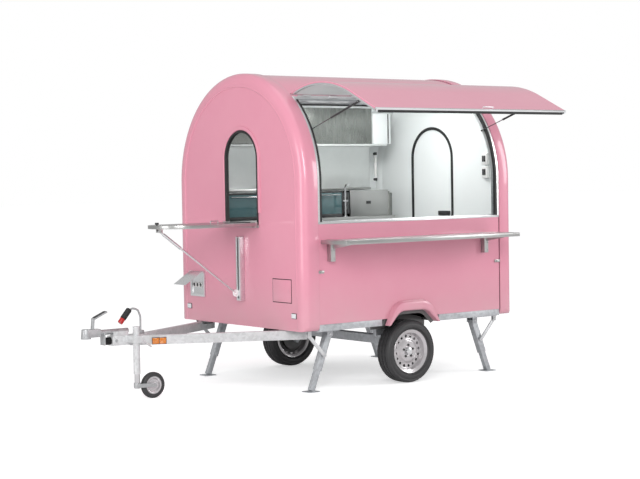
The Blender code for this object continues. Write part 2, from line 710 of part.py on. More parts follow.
def hatch():
    """The lid that laps over the serving opening, drawn closed and then swung up about its hinge."""
    start = HATCH_END
    end = BODY_LENGTH - HATCH_END
    top = -math.degrees(HINGE_ANGLE + HATCH_EDGE_DROP / HALF_WIDTH)
    low = SILL_Z - HATCH_LAP
    inside = HALF_WIDTH + HATCH_GAP
    middle = inside + HATCH_LINER
    open_up = Matrix.Translation(HATCH_HINGE) @ Matrix.Rotation(-HATCH_OPEN, 4, "X")
    open_up = open_up @ Matrix.Translation(-HATCH_HINGE)

    def swing(mesh):
        mesh.transform(open_up)
        return mesh

    skin = flat_mesh([arch_band(middle + HATCH_SKIN, middle + SEAT, low, -90, top)], start, end, "YZ")
    lid = keep("hatch_skin", swing(skin), PINK, HATCH_HINGE)
    knuckles = []
    bores = []
    y, z = HATCH_HINGE.y, HATCH_HINGE.z
    for share in (-0.7, 0, 0.7):
        x = BODY_LENGTH / 2 + share * HINGE_SPREAD
        half = KNUCKLE_LENGTH / 2
        knuckles.append(rod_mesh((x - half, y, z), (x + half, y, z), KNUCKLE_RADIUS, 16))
        bores.append(rod_mesh((x - half - 0.01, y, z), (x + half + 0.01, y, z), 0.0065, 12))
    join(lid, *knuckles)
    cut(lid, *bores)
    liner_band = arch_band(middle, inside, low, -90, top)
    liner = keep("hatch_liner", swing(flat_mesh([liner_band], start, end, "YZ")), ALUMINIUM, HATCH_HINGE)
    cut(liner, rod_mesh((start - 0.01, y, z), (end + 0.01, y, z), KNUCKLE_RADIUS + 0.0015, 16))
    extras = []
    pin = gas_hatch_pin(is_open=False)
    for at_rear in (False, True):
        plane = OPENING_END + FRAME_LAP + GAS_PLANE
        x0, x1 = mirror_x(plane + 0.0125, at_rear), mirror_x(plane + 0.0185, at_rear)
        lug_low = (min(x0, x1), -(inside + 0.006), pin.z - 0.02)
        lug_high = (max(x0, x1), pin.y + 0.012, pin.z + 0.02)
        extras.append(swing(box_mesh(lug_low, lug_high)))
        x0 = mirror_x(plane - 0.007, at_rear)
        x1 = mirror_x(plane + 0.014, at_rear)
        extras.append(swing(rod_mesh((x0, pin.y, pin.z), (x1, pin.y, pin.z), PIN_RADIUS, 10)))
    join(liner, *extras)


def hatch_hinge():
    """A rod on feet along the roof's edge; the hatch's own knuckles turn round it."""
    start, end = OPENING_END + 0.02, BODY_LENGTH - OPENING_END - 0.02
    y, z = HATCH_HINGE.y, HATCH_HINGE.z
    rod = keep("hatch_hinge", rod_mesh((start, y, z), (end, y, z), 0.006, 12), ALUMINIUM, HATCH_HINGE)
    tangent = Vector((0, math.cos(HINGE_ANGLE), math.sin(HINGE_ANGLE)))
    outward = Vector((0, -math.sin(HINGE_ANGLE), math.cos(HINGE_ANGLE)))
    feet = []
    middle = BODY_LENGTH / 2
    for share in (-1, -0.4, 0.4, 1):
        x = middle + share * HINGE_SPREAD
        near = HATCH_HINGE + tangent * -0.002 + outward * HINGE_FOOT_LIFT
        far = HATCH_HINGE + tangent * 0.062 + outward * HINGE_FOOT_LIFT
        mesh = beam_mesh((x, *near[1:]), (x, *far[1:]), HINGE_FOOT_LENGTH, 0.024, side=(1, 0, 0))
        feet.append(mesh)
    join(rod, *feet)
    under = arch_band(PANEL_OUT + SEAT, HALF_WIDTH - WALL, SILL_Z)
    cut(rod, flat_mesh([under], 0, BODY_LENGTH, "YZ"))


def gas_struts():
    """Each strut: a tube pinned to the hatch, and a rod out of it towards the frame's boss."""
    for at_rear, word in ((False, "front"), (True, "rear")):
        x = mirror_x(OPENING_END + FRAME_LAP + GAS_PLANE, at_rear)
        top = gas_hatch_pin()
        foot = gas_frame_pin()
        top.x = foot.x = x
        along = (foot - top).normalized()
        tube_start = top + along * 0.004
        tube_end = top + along * GAS_TUBE_LENGTH
        tube = keep(f"gas_tube_{word}", rod_mesh(tube_start, tube_end, GAS_TUBE_RADIUS, 12), BLACK, top)
        join(tube, rod_mesh(top - Vector((0.006, 0, 0)), top + Vector((0.006, 0, 0)), 0.011, 12))
        bores = [rod_mesh(top - Vector((0.03, 0, 0)), top + Vector((0.03, 0, 0)), PIN_RADIUS + 0.0005, 12)]
        bore = tube_end - along * GAS_BORE, tube_end + along * 0.01
        bores.append(rod_mesh(*bore, GAS_ROD_RADIUS + 0.001, 12))
        cut(tube, *bores)
        rod_start = tube_end - along * GAS_ROD_GRIP
        rod = keep(f"gas_rod_{word}", rod_mesh(rod_start, foot, GAS_ROD_RADIUS, 10), STAINLESS, foot)
        eye = Vector((GAS_EYE_HALF, 0, 0))
        join(rod, rod_mesh(foot - eye, foot + eye, 0.009, 12))


def counter():
    """The serving shelf on two angle brackets against the wall."""
    wall_y = -(PANEL_OUT + SEAT)
    low = COUNTER_TOP - COUNTER_THICKNESS
    board_low = (COUNTER_START, wall_y - COUNTER_GAP - COUNTER_DEPTH, low)
    board_high = (COUNTER_END, wall_y - COUNTER_GAP, COUNTER_TOP)
    board = keep("counter", box_mesh(board_low, board_high), STAINLESS)
    pieces = []
    for x in BRACKET_X:
        half = BRACKET_WIDTH / 2
        low_corner = (x - half, wall_y - COUNTER_GAP - 0.005, COUNTER_TOP - BRACKET_HEIGHT)
        pieces.append(box_mesh(low_corner, (x + half, wall_y, COUNTER_TOP)))
        arm = flat_mesh(
            [[(-0.02, low), (-0.30, low), (-0.30, low - 0.012), (-0.06, low - 0.05), (-0.02, low - 0.12)]],
            x - 0.003,
            x + 0.003,
            "YZ",
        )
        arm.transform(Matrix.Translation((0, wall_y, 0.002)))
        pieces.append(arm)
    join(board, *pieces)


def flap_point(x, z, closed):
    """A point of the open flap, or where it goes when the flap stands up against the wall."""
    dx, dz = x - FLAP_HINGE_X, z - FLAP_HINGE_Z
    return (FLAP_HINGE_X + dz, FLAP_HINGE_Z - dx) if closed else (x, z)


def front_flap():
    """The small shelf folded down under the front window, its strut and the strut's rail."""
    top = FLAP_HINGE_Z
    low = top - FLAP_THICKNESS
    outline = [(FLAP_HINGE_X - x, y) for y, x in gothic(FLAP_HALF, 0.012, FLAP_LENGTH, FRONT_Y)]
    axis = Vector((FLAP_HINGE_X, FRONT_Y, FLAP_HINGE_Z))
    flap = keep("front_flap", flat_mesh([outline], low, top, "XY"), STAINLESS, axis)
    pivot = strut_pivot()
    lugs = []
    for side in (-1, 1):
        y0, y1 = span(FRONT_Y + side * 0.019, FRONT_Y + side * 0.025)
        lugs.append(box_mesh((pivot.x - 0.02, y0, pivot.z - 0.012), (pivot.x + 0.02, y1, low + 0.004)))
        y0, y1 = span(FRONT_Y + side * 0.20, FRONT_Y + side * 0.24)
        lugs.append(rod_mesh((axis.x, y0, axis.z), (axis.x, y1, axis.z), 0.007, 12))
        lugs.append(box_mesh((axis.x - 0.03, y0, axis.z - 0.012), (axis.x, y1, axis.z)))
    lugs.append(rod_mesh(pivot - Vector((0, 0.024, 0)), pivot + Vector((0, 0.024, 0)), 0.005, 12))
    join(flap, *lugs)
    bores = []
    for y in (FRONT_Y - 0.22, FRONT_Y + 0.22):
        bores.append(rod_mesh((axis.x, y - 0.03, axis.z), (axis.x, y + 0.03, axis.z), 0.0045, 12))
    cut(flap, *bores)
    strip = box_mesh((-0.012, FRONT_Y - 0.27, top - 0.045), (-SEAT, FRONT_Y + 0.27, top - 0.025))
    base = keep("flap_hinge", strip, STAINLESS, axis)
    ears = []
    for side in (-1, 1):
        for inner in (0.185, 0.2455):
            y0, y1 = span(FRONT_Y + side * inner, FRONT_Y + side * (inner + 0.01))
            ears.append(box_mesh((axis.x - 0.007, y0, axis.z - 0.045), (-0.0065, y1, axis.z + 0.007)))
        y0, y1 = span(FRONT_Y + side * 0.188, FRONT_Y + side * 0.25)
        ears.append(rod_mesh((axis.x, y0, axis.z), (axis.x, y1, axis.z), 0.004, 12))
    join(base, *ears)


def strut_pivot():
    return Vector((FLAP_PIVOT_X, FRONT_Y, FLAP_HINGE_Z - FLAP_THICKNESS - STRUT_DROP))


def strut_foot():
    return Vector((-(RAIL_FRONT + ROLLER_RADIUS - 0.010), FRONT_Y, STRUT_FOOT_Z))


def flap_strut():
    pivot, foot = strut_pivot(), strut_foot()
    along = (foot - pivot).normalized()
    strut = keep("flap_strut", rod_mesh(pivot, foot, STRUT_RADIUS, 12), STAINLESS, pivot)
    side = Vector((0, 0.013, 0))
    pieces = [rod_mesh(pivot + along * 0.05, pivot + along * STRUT_SLEEVE_LENGTH, STRUT_SLEEVE, 12)]
    pieces.append(rod_mesh(pivot - side, pivot + side, 0.012, 12))
    pieces.append(rod_mesh(foot - side * 0.6, foot + side * 0.6, ROLLER_RADIUS, 16))
    join(strut, *pieces)
    cut(strut, rod_mesh(pivot - side * 3, pivot + side * 3, 0.0055, 12))
    rail_low = (-RAIL_FRONT, FRONT_Y - STRUT_RAIL_HALF, STRUT_RAIL_LOW)
    rail_high = (-SEAT, FRONT_Y + STRUT_RAIL_HALF, STRUT_RAIL_HIGH)
    rail = keep("strut_rail", box_mesh(rail_low, rail_high), STAINLESS)
    low, high = STRUT_RAIL_LOW + 0.02, STRUT_RAIL_HIGH + 0.1
    half = STRUT_SLOT_HALF
    channel = box_mesh((-RAIL_FRONT + 0.006, FRONT_Y - half, low), (-0.008, FRONT_Y + half, high))
    mouth = box_mesh((-0.1, FRONT_Y - STRUT_MOUTH_HALF, low), (-0.02, FRONT_Y + STRUT_MOUTH_HALF, high))
    cut(rail, channel, mouth)


def mains_inlet():
    """A flush stainless socket box with its own lid, propped open."""
    y0, z0 = INLET_LOW
    y1, z1 = INLET_HIGH
    box = keep("inlet_box", box_mesh((-INLET_PROUD, y0, z0), (-SEAT, y1, z1)), STAINLESS)
    cut(box, box_mesh((-0.1, y0 + 0.025, z0 + 0.03), (-0.006, y1 - 0.025, z1 - 0.02)))
    axis = Vector((-INLET_PROUD - 0.012, 0, z1 - 0.006))
    rod = rod_mesh((axis.x, y0 + 0.01, axis.z), (axis.x, y1 - 0.01, axis.z), 0.003, 10)
    ears = [rod]
    for y in (y0, y1 - 0.012):
        ears.append(box_mesh((axis.x - 0.005, y, axis.z - 0.006), (-0.004, y + 0.012, axis.z + 0.006)))
    join(box, *ears)
    reach = z1 - z0 - 0.02
    lid_low = (axis.x - 0.0055, y0 + 0.016, axis.z - reach)
    lid = box_mesh(lid_low, (axis.x - 0.0035, y1 - 0.016, axis.z - 0.002))
    knuckle = rod_mesh((axis.x, y0 + 0.05, axis.z), (axis.x, y1 - 0.05, axis.z), 0.006, 12)
    bore = rod_mesh((axis.x, y0, axis.z), (axis.x, y1, axis.z), 0.0035, 12)
    turn = Matrix.Translation(axis) @ Matrix.Rotation(INLET_LID_OPEN, 4, "Y") @ Matrix.Translation(-axis)
    for mesh in (lid, knuckle, bore):
        mesh.transform(turn)
    flap = keep("inlet_lid", lid, STAINLESS, axis)
    join(flap, knuckle)
    cut(flap, bore)


def kitchen():
    """The worktop unit along the far wall, the ovens on it, and the splashback with shelf and hood."""
    floor_top = RAIL_TOP + SEAT + FLOOR_THICKNESS
    low = (UNIT_START, UNIT_FRONT, floor_top + SEAT)
    unit = keep("kitchen_unit", box_mesh(low, (UNIT_END, UNIT_BACK, UNIT_TOP)), STAINLESS)
    notch_y = WHEEL_Y - TYRE_WIDTH / 2 - 0.05
    half = WHEEL_BOX_HALF + 0.01
    notch_low = (WHEEL_X - half, notch_y, CAP_BOTTOM)
    cut(unit, box_mesh(notch_low, (WHEEL_X + half, HALF_WIDTH + 0.1, WHEEL_BOX_TOP + 0.01)))
    bays = 3
    pitch = (UNIT_END - UNIT_START - SHEET) / bays
    for bay in range(bays):
        x = UNIT_START + SHEET + bay * pitch
        bay_high = (x + pitch - SHEET, UNIT_BACK - SHEET, UNIT_TOP - 0.04)
        cut(unit, box_mesh((x, UNIT_FRONT - 0.1, floor_top + 0.06), bay_high))
    oven_front = UNIT_FRONT + 0.03
    oven_low = (UNIT_START + 0.03, oven_front, UNIT_TOP + SEAT)
    ovens = keep("ovens", box_mesh(oven_low, (OVEN_END, UNIT_BACK - 0.08, OVEN_TOP)), BLACK)
    pitch = (OVEN_END - UNIT_START - 0.03) / 2
    for number in range(2):
        x = UNIT_START + 0.03 + number * pitch
        low = (x + 0.03, oven_front - 0.1, UNIT_TOP + 0.04)
        cut(ovens, box_mesh(low, (x + pitch - 0.03, UNIT_BACK - 0.10, OVEN_TOP - 0.02)))
    start = OVEN_END + 0.01
    end = start + STEEL_BOX_LENGTH
    box_low = (start, oven_front, UNIT_TOP + SEAT)
    box = keep("steel_box", box_mesh(box_low, (end, UNIT_BACK - 0.08, OVEN_TOP)), STAINLESS)
    low = (start + 0.01, oven_front + 0.01, UNIT_TOP + 0.02)
    cut(box, box_mesh(low, (end - 0.01, UNIT_BACK, OVEN_TOP - 0.01)))
    splashback()


def splashback():
    """A stainless sheet on three ties off the wall, with a shelf and a sloping hood over the ovens."""
    sheet_low = (UNIT_START, SPLASH_Y - SPLASH_SHEET, UNIT_TOP + SEAT)
    back = keep("splashback", box_mesh(sheet_low, (UNIT_END, SPLASH_Y, SPLASH_TOP)), STAINLESS)
    shelf_low = (UNIT_START, SPLASH_Y - SHELF_DEPTH, SPLASH_TOP - 0.02)
    shelf = box_mesh(shelf_low, (UNIT_END, SPLASH_Y, SPLASH_TOP))
    front, low = SPLASH_Y - HOOD_DEPTH, SPLASH_TOP - 0.01
    section = [(SPLASH_Y, low), (front, low), (front, HOOD_TOP), (front + 0.10, HOOD_TOP)]
    hood = flat_mesh([section], UNIT_START, UNIT_START + HOOD_LENGTH, "YZ")
    ties = []
    for x in (UNIT_START + 0.13, UNIT_START + HOOD_LENGTH, UNIT_END - 0.20):
        tie_low = (x, SPLASH_Y - SPLASH_SHEET / 2, 1.80)
        ties.append(box_mesh(tie_low, (x + 0.03, HALF_WIDTH - WALL - SEAT, 1.83)))
    join(back, shelf, hood, *ties)


def chassis():
    """A galvanised ladder frame in one plane, with the steadies' brackets on it."""
    start = CAP_LENGTH + FRAME_END_GAP
    end = BODY_LENGTH - start
    wide, inner = RAIL_OUTER_Y, INNER_RAIL_Y + RAIL_WIDTH / 2
    bay = WHEEL_BOX_HALF + 0.01
    x1, x2 = WHEEL_X - bay, WHEEL_X + bay
    outline = [(start, -wide), (x1, -wide), (x1, -inner), (x2, -inner), (x2, -wide), (end, -wide)]
    outline += [(end, wide), (x2, wide), (x2, inner), (x1, inner), (x1, wide), (start, wide)]
    holes = []
    w = RAIL_WIDTH
    clear = INNER_RAIL_Y - w / 2
    for a, b in ((start + w, x1 - w), (x1, x2), (x2 + w, end - w)):
        holes.append([(a, -clear), (b, -clear), (b, clear), (a, clear)])
    for a, b in ((start + w, x1 - w), (x2 + w, end - w)):
        for side in (-1, 1):
            y0, y1 = sorted((side * inner, side * (wide - w)))
            holes.append([(a, y0), (b, y0), (b, y1), (a, y1)])
    plan = flat_mesh([outline, *holes], RAIL_TOP - RAIL_DEPTH, RAIL_TOP, "XY")
    frame = keep("chassis_frame", plan, GALVANISED)
    brackets = []
    for at_rear in (False, True):
        for side in (-1, 1):
            brackets += steady_bracket(at_rear, side)
    join(frame, *brackets)


def span(a, b):
    return min(a, b), max(a, b)


def block(x_range, y_range, z_range):
    (x0, x1), (y0, y1), (z0, z1) = (span(*pair) for pair in (x_range, y_range, z_range))
    return box_mesh((x0, y0, z0), (x1, y1, z1))


def steady_bracket(at_rear, side):
    rail_low = RAIL_TOP - RAIL_DEPTH
    plate_x = (mirror_x(CAP_LENGTH + FRAME_END_GAP, at_rear), mirror_x(PIVOT_IN + 0.04, at_rear))
    plate_y = (side * (LEG_Y - LEG_SIZE / 2 - 0.012), side * (RAIL_OUTER_Y - 0.03))
    meshes = [block(plate_x, plate_y, (rail_low - 0.008, rail_low + 0.008))]
    for offset in (-LEG_SIZE / 2 - 0.012, LEG_SIZE / 2 + 0.006):
        y = side * LEG_Y + offset
        ear_x = (mirror_x(PIVOT_IN - 0.03, at_rear), mirror_x(PIVOT_IN + 0.03, at_rear))
        meshes.append(block(ear_x, (y, y + 0.006), (PIVOT_Z - 0.02, rail_low)))
    x = mirror_x(PIVOT_IN, at_rear)
    half = LEG_SIZE / 2 + 0.010
    meshes.append(rod_mesh((x, side * LEG_Y - half, PIVOT_Z), (x, side * LEG_Y + half, PIVOT_Z), 0.007, 12))
    return meshes


def steadies():
    """Corner legs that lean out to the ends, each held by a flat brace from its middle."""
    for at_rear, end_word in ((False, "front"), (True, "rear")):
        for side, side_word in ((-1, "near"), (1, "far")):
            y = side * LEG_Y
            pivot = Vector((mirror_x(PIVOT_IN, at_rear), y, PIVOT_Z))
            foot = Vector((mirror_x(FOOT_IN, at_rear), y, 0))
            along = (foot - pivot).normalized()
            outer = beam_mesh(pivot - along * 0.015, pivot + along * LEG_OUTER_LENGTH, LEG_SIZE, LEG_SIZE)
            name = f"steady_{end_word}_{side_word}"
            leg = keep(name, outer, GALVANISED, pivot)
            sole = foot + Vector((0, 0, FOOT_THICKNESS))
            inner = beam_mesh(pivot + along * 0.25, sole + along * -0.004, LEG_INNER, LEG_INNER)
            half = FOOT_SIZE / 2
            plate = box_mesh((foot.x - half, y - half, 0), (foot.x + half, y + half, FOOT_THICKNESS))
            knee = pivot + along * KNEE_DOWN
            out = Vector((0, side, 0))
            pin_start, pin_end = knee + out * (LEG_SIZE / 2 - 0.003), knee + out * (BRACE_OFFSET + 0.008)
            pin = rod_mesh(pin_start, pin_end, 0.006, 12)
            join(leg, inner, plate, pin)
            hole = LEG_SIZE
            cut(leg, rod_mesh(pivot - out * hole, pivot + out * hole, 0.0075, 12))
            top = Vector((mirror_x(BRACE_TOP_IN, at_rear), y, PIVOT_Z))
            mid = out * (BRACE_OFFSET + BRACE_THICKNESS / 2)
            reach = (top - knee).normalized()
            bar = beam_mesh(knee + mid - reach * 0.014, top + mid, BRACE_THICKNESS, BRACE_WIDTH)
            brace = keep(f"brace_{end_word}_{side_word}", bar, GALVANISED, knee)
            cut(brace, rod_mesh(knee, knee + out * 0.1, 0.0065, 12))


def axle():
    """A torsion axle tube with trailing arms and stub axles, hung from the inner rails."""
    rail_low = RAIL_TOP - RAIL_DEPTH
    half = AXLE_SIZE / 2
    arm_y = WHEEL_Y - TYRE_WIDTH / 2 - 0.010
    tube = box_mesh((AXLE_X - half, -arm_y, AXLE_Z - half), (AXLE_X + half, arm_y, AXLE_Z + half))
    beam = keep("axle_beam", tube, GALVANISED)
    pieces = []
    for side in (-1, 1):
        hub = Vector((WHEEL_X, 0, TYRE_RADIUS))
        root = Vector((AXLE_X, 0, AXLE_Z))
        y = Vector((0, side * (arm_y - ARM_THICKNESS / 2), 0))
        away = (hub - root).normalized()
        pieces.append(beam_mesh(root - away * 0.03 + y, hub + away * 0.045 + y, ARM_THICKNESS, 0.075))
        stub_end = Vector((WHEEL_X, side * (WHEEL_Y + 0.010), TYRE_RADIUS))
        pieces.append(rod_mesh(hub + y, stub_end, STUB_RADIUS, 16))
        bracket_y = (side * (INNER_RAIL_Y - 0.02), side * (INNER_RAIL_Y + 0.02))
        bracket_z = (AXLE_Z + half - 0.01, rail_low - SEAT)
        pieces.append(block((AXLE_X - 0.06, AXLE_X + 0.06), bracket_y, bracket_z))
    join(beam, *pieces)


def wheels():
    """Steel rims with a drum behind the disc, and solid-section tyres round them."""
    rim_half = 0.070
    rim_profile = [
        (0, 0.060),
        (0.034, 0.060),
        (0.036, 0.036),
        (0.095, 0.036),
        (0.110, 0.022),
        (0.158, 0.016),
        (0.166, 0.050),
        (0.171, rim_half - 0.007),
        (0.188, rim_half),
        (RIM_FLANGE - 0.002, rim_half + 0.003),
        (RIM_FLANGE, rim_half - 0.002),
        (RIM_RADIUS, rim_half - 0.010),
        (RIM_RADIUS, -rim_half + 0.010),
        (RIM_FLANGE, -rim_half + 0.002),
        (RIM_FLANGE - 0.002, -rim_half - 0.003),
        (0.171, -rim_half + 0.007),
        (0.166, -0.010),
        (0.128, 0.010),
        (0.122, -0.066),
        (STUB_RADIUS + 0.0005, -0.066),
        (STUB_RADIUS + 0.0005, 0.016),
        (0, 0.016),
    ]
    lift = RIM_RADIUS + SEAT
    top = TYRE_RADIUS
    half = TYRE_WIDTH / 2
    tyre_profile = [
        (lift, -rim_half + 0.0125),
        (lift + 0.026, -rim_half + 0.0045),
        (lift + 0.060, -half),
        (top - 0.022, -half + 0.008),
        (top - 0.004, -half + 0.026),
        (top, -half + 0.045),
        (top, half - 0.045),
        (top - 0.004, half - 0.026),
        (top - 0.022, half - 0.008),
        (lift + 0.060, half),
        (lift + 0.026, rim_half - 0.0045),
        (lift, rim_half - 0.0125),
    ]
    for side, word in ((-1, "near"), (1, "far")):
        centre = (WHEEL_X, side * WHEEL_Y, TYRE_RADIUS)
        axis = (0, side, 0)
        rim = keep(f"wheel_rim_{word}", turned_mesh(rim_profile, centre, axis, 32), WHEEL_SILVER, centre)
        vents = bmesh.new()
        lying = Matrix.Rotation(math.pi / 2, 4, "X")
        for number in range(RIM_VENTS):
            angle = 2 * math.pi * (number + 0.25) / RIM_VENTS
            across, up = RIM_VENT_AT * math.cos(angle), RIM_VENT_AT * math.sin(angle)
            place = Matrix.Translation((centre[0] + across, centre[1], centre[2] + up))
            hole = {"segments": 6, "radius1": RIM_VENT, "radius2": RIM_VENT, "depth": 0.07}
            bmesh.ops.create_cone(vents, cap_ends=True, matrix=place @ lying, **hole)
        cut(rim, mesh_from(vents, "vents"))
        keep(f"tyre_{word}", turned_mesh(tyre_profile, centre, axis, 32), RUBBER, centre)


def drawbar():
    """Two galvanised beams that meet at the overrun coupling."""
    top = RAIL_TOP - RAIL_DEPTH - SEAT
    z = top - DRAWBAR_HEIGHT / 2
    lean = math.atan(DRAWBAR_SLOPE)
    meshes = []
    for side in (-1, 1):
        inner = Vector((DRAWBAR_APEX_X - 0.02, side * 0.02, z))
        outer_y = side * (DRAWBAR_END_X - DRAWBAR_APEX_X) * DRAWBAR_SLOPE
        outer = Vector((DRAWBAR_END_X, outer_y, z))
        meshes.append(beam_mesh(inner, outer, DRAWBAR_WIDTH, DRAWBAR_HEIGHT, side=(math.sin(lean), 1, 0)))
    body = keep("drawbar", meshes[0], GALVANISED)
    housing = box_mesh((HOUSING_START, -HOUSING_HALF, HOUSING_LOW), (HOUSING_END, HOUSING_HALF, HOUSING_HIGH))
    clamp_low = (JOCKEY_X - 0.042, JOCKEY_Y - 0.042, 0.50)
    clamp = box_mesh(clamp_low, (JOCKEY_X + 0.042, -HOUSING_HALF + 0.005, 0.56))
    saddle_low = (HOUSING_START + 0.02, -0.03, HOUSING_HIGH - 0.005)
    saddle = box_mesh(saddle_low, (SHAFT_END - 0.01, 0.03, SHAFT_Z))
    pull = Vector((JOCKEY_X + 0.03, JOCKEY_Y - 0.025, 0.53))
    toggle = rod_mesh(pull, pull + Vector((0.10, -0.01, -0.075)), 0.008, 10)
    join(body, meshes[1], housing, clamp, saddle, toggle)
    shaft = (SHAFT_START, 0, SHAFT_Z), (SHAFT_END + 0.1, 0, SHAFT_Z)
    cut(body, rod_mesh(*shaft, SHAFT_RADIUS + SEAT, 16))
    cut(body, rod_mesh((JOCKEY_X, JOCKEY_Y, 0.3), (JOCKEY_X, JOCKEY_Y, 0.8), JOCKEY_TUBE + SEAT, 20))
    keep("bellows", bellows_mesh(), RUBBER)
    coupling()


def bellows_mesh():
    """The ribbed rubber boot between the housing and the coupling head."""
    length = HOUSING_START - BELLOWS_END
    ribs = 4
    profile = [(0, SEAT)]
    for rib in range(ribs):
        base = SEAT + (length - 2 * SEAT) * rib / ribs
        pitch = (length - 2 * SEAT) / ribs
        profile += [(BELLOWS_RADIUS - 0.008, base), (BELLOWS_RADIUS, base + pitch / 2)]
    profile += [(BELLOWS_RADIUS - 0.008, length - SEAT), (0, length - SEAT)]
    centre = (HOUSING_START, 0, (HOUSING_LOW + HOUSING_HIGH) / 2)
    return turned_mesh(profile, centre, (-1, 0, 0), 16)


def coupling():
    """The pressed ball cup on its shaft over the housing, with the raised release handle."""
    shaft = rod_mesh((SHAFT_START, 0, SHAFT_Z), (SHAFT_END, 0, SHAFT_Z), SHAFT_RADIUS, 16)
    head = keep("coupling_head", shaft, GALVANISED)
    cup_x = NOSE_X + 0.045
    cup = rod_mesh((cup_x, 0, CUP_LOW), (cup_x, 0, CUP_HIGH), 0.045, 20, end_radius=0.036)
    neck = box_mesh((cup_x, -0.034, CUP_LOW + 0.012), (SHAFT_START + 0.015, 0.034, CUP_HIGH - 0.004))
    yoke = box_mesh((BELLOWS_END - 0.016, -0.034, HOUSING_LOW + 0.01), (BELLOWS_END - SEAT, 0.034, SHAFT_Z))
    root = Vector((SHAFT_START - 0.05, 0, CUP_HIGH - 0.01))
    bend = root + Vector((0.008, 0, 0.095))
    handle = beam_mesh(root, bend, 0.03, 0.02)
    grip = beam_mesh(bend - Vector((0.005, 0, 0.005)), bend + Vector((0.13, 0, 0.055)), 0.05, 0.014)
    join(head, cup, neck, yoke, handle, grip)
    cut(head, rod_mesh((cup_x, 0, CUP_LOW - 0.02), (cup_x, 0, CUP_HIGH - 0.02), 0.0255, 16))
    lever()


def lever():
    """The handbrake: a bent bar up from the housing to a grip that points forward and down."""
    base = Vector((HOUSING_END - 0.05, 0, HOUSING_HIGH + SEAT))
    foot = box_mesh(base - Vector((0.03, 0.02, 0)), base + Vector((0.03, 0.02, 0.03)))
    bar = keep("handbrake_lever", foot, BLACK, base)
    route = [(0, 0.02), (0.005, 0.14), (-0.02, 0.205), (-0.07, 0.225), (-0.115, 0.21)]
    points = [base + Vector((x, 0, z)) for x, z in route]
    meshes = [rod_mesh(a, b, 0.009, 10) for a, b in zip(points, points[1:])]
    last = points[-1]
    meshes.append(rod_mesh(last + Vector((0.01, 0, 0.01)), last + Vector((-0.10, 0, -0.115)), 0.022, 12))
    join(bar, *meshes)


def jockey():
    """The jockey wheel: outer tube in its clamp, sliding stem, trailing fork and the wheel."""
    x, y = JOCKEY_X, JOCKEY_Y
    tube = rod_mesh((x, y, JOCKEY_TUBE_LOW), (x, y, JOCKEY_TUBE_TOP), JOCKEY_TUBE, 20)
    outer = keep("jockey_tube", tube, GALVANISED)
    bore = (x, y, JOCKEY_TUBE_LOW - 0.1), (x, y, JOCKEY_TUBE_TOP - 0.01)
    cut(outer, rod_mesh(*bore, JOCKEY_STEM + 0.001, 20))
    stem = rod_mesh((x, y, JOCKEY_STEM_LOW), (x, y, JOCKEY_TUBE_TOP - 0.02 - JOCKEY_LIFT), JOCKEY_STEM, 20)
    keep("jockey_stem", stem, STAINLESS)
    crown_z = JOCKEY_STEM_LOW - SEAT
    hub = Vector((x + JOCKEY_TRAIL, y, JOCKEY_WHEEL_RADIUS))
    barrel = rod_mesh((x, y, crown_z - 0.05), (x, y, crown_z), 0.028, 16)
    crown = keep("jockey_fork", barrel, GALVANISED, (x, y, 0))
    half = JOCKEY_WHEEL_WIDTH / 2 + 0.005
    meshes = []
    for side in (-1, 1):
        offset = Vector((0, side * (half + 0.003), 0))
        start = Vector((x, y, crown_z - 0.025))
        meshes.append(beam_mesh(start + offset, hub + offset + Vector((0.02, 0, 0)), 0.006, 0.035))
    bridge_low = (x - 0.015, y - half - 0.004, crown_z - 0.045)
    meshes.append(box_mesh(bridge_low, (x + 0.01, y + half + 0.004, crown_z - 0.005)))
    meshes.append(rod_mesh(hub - Vector((0, half + 0.004, 0)), hub + Vector((0, half + 0.004, 0)), 0.006, 12))
    join(crown, *meshes)
    r, w = JOCKEY_WHEEL_RADIUS, JOCKEY_WHEEL_WIDTH / 2
    profile = [(0.0065, -w + 0.004), (0.0065, w - 0.004), (0.07, w - 0.006), (0.078, w), (r - 0.018, w)]
    profile += [(r, w - 0.016), (r, -w + 0.016), (r - 0.018, -w), (0.078, -w), (0.07, -w + 0.006)]
    keep("jockey_wheel", turned_mesh(profile, hub, (0, -1, 0), 28), RUBBER, hub)


def lamps():
    half = LAMP_SIZE / 2
    for side, word in ((-1, "near"), (1, "far")):
        y0, y1 = side * LAMP_Y - half, side * LAMP_Y + half
        low = (-LAMP_PROUD, y0, LAMP_Z - half * 0.7)
        keep(f"front_lamp_{word}", box_mesh(low, (-SEAT, y1, LAMP_Z + half * 0.7)), LAMP_CLEAR)
        middle, reach = side * (LAMP_Y - REAR_LAMP_IN), half + 0.02
        low = (BODY_LENGTH + SEAT, middle - reach, LAMP_Z - 0.02)
        high = (BODY_LENGTH + REAR_LAMP_PROUD, middle + reach, LAMP_Z + 0.13)
        keep(f"rear_lamp_{word}", box_mesh(low, high), LAMP_RED)


def main():
    front_wall()
    rear_wall()
    side_panels()
    roof()
    floor()
    serving_frame()
    hatch()
    hatch_hinge()
    gas_struts()
    counter()
    front_flap()
    flap_strut()
    mains_inlet()
    kitchen()
    chassis()
    steadies()
    axle()
    wheels()
    drawbar()
    jockey()
    lamps()
    hatch_outside = HALF_WIDTH + HATCH_GAP + HATCH_LINER + HATCH_SKIN
    tip = swung(Vector((0, -hatch_outside, SILL_Z - HATCH_LAP)))
    rear = BODY_LENGTH + REAR_LAMP_PROUD
    middle_x = (NOSE_X + rear) / 2
    middle_y = (tip.y + HALF_WIDTH + FLARE_REACH) / 2
    ROOT.location = (-middle_x, -middle_y, 0)
    bpy.context.view_layer.update()


main()
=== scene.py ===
"""Looks of a pink single-axle food trailer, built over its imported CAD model."""

import json
import math

import bmesh
import bpy
from mathutils import Matrix, Vector


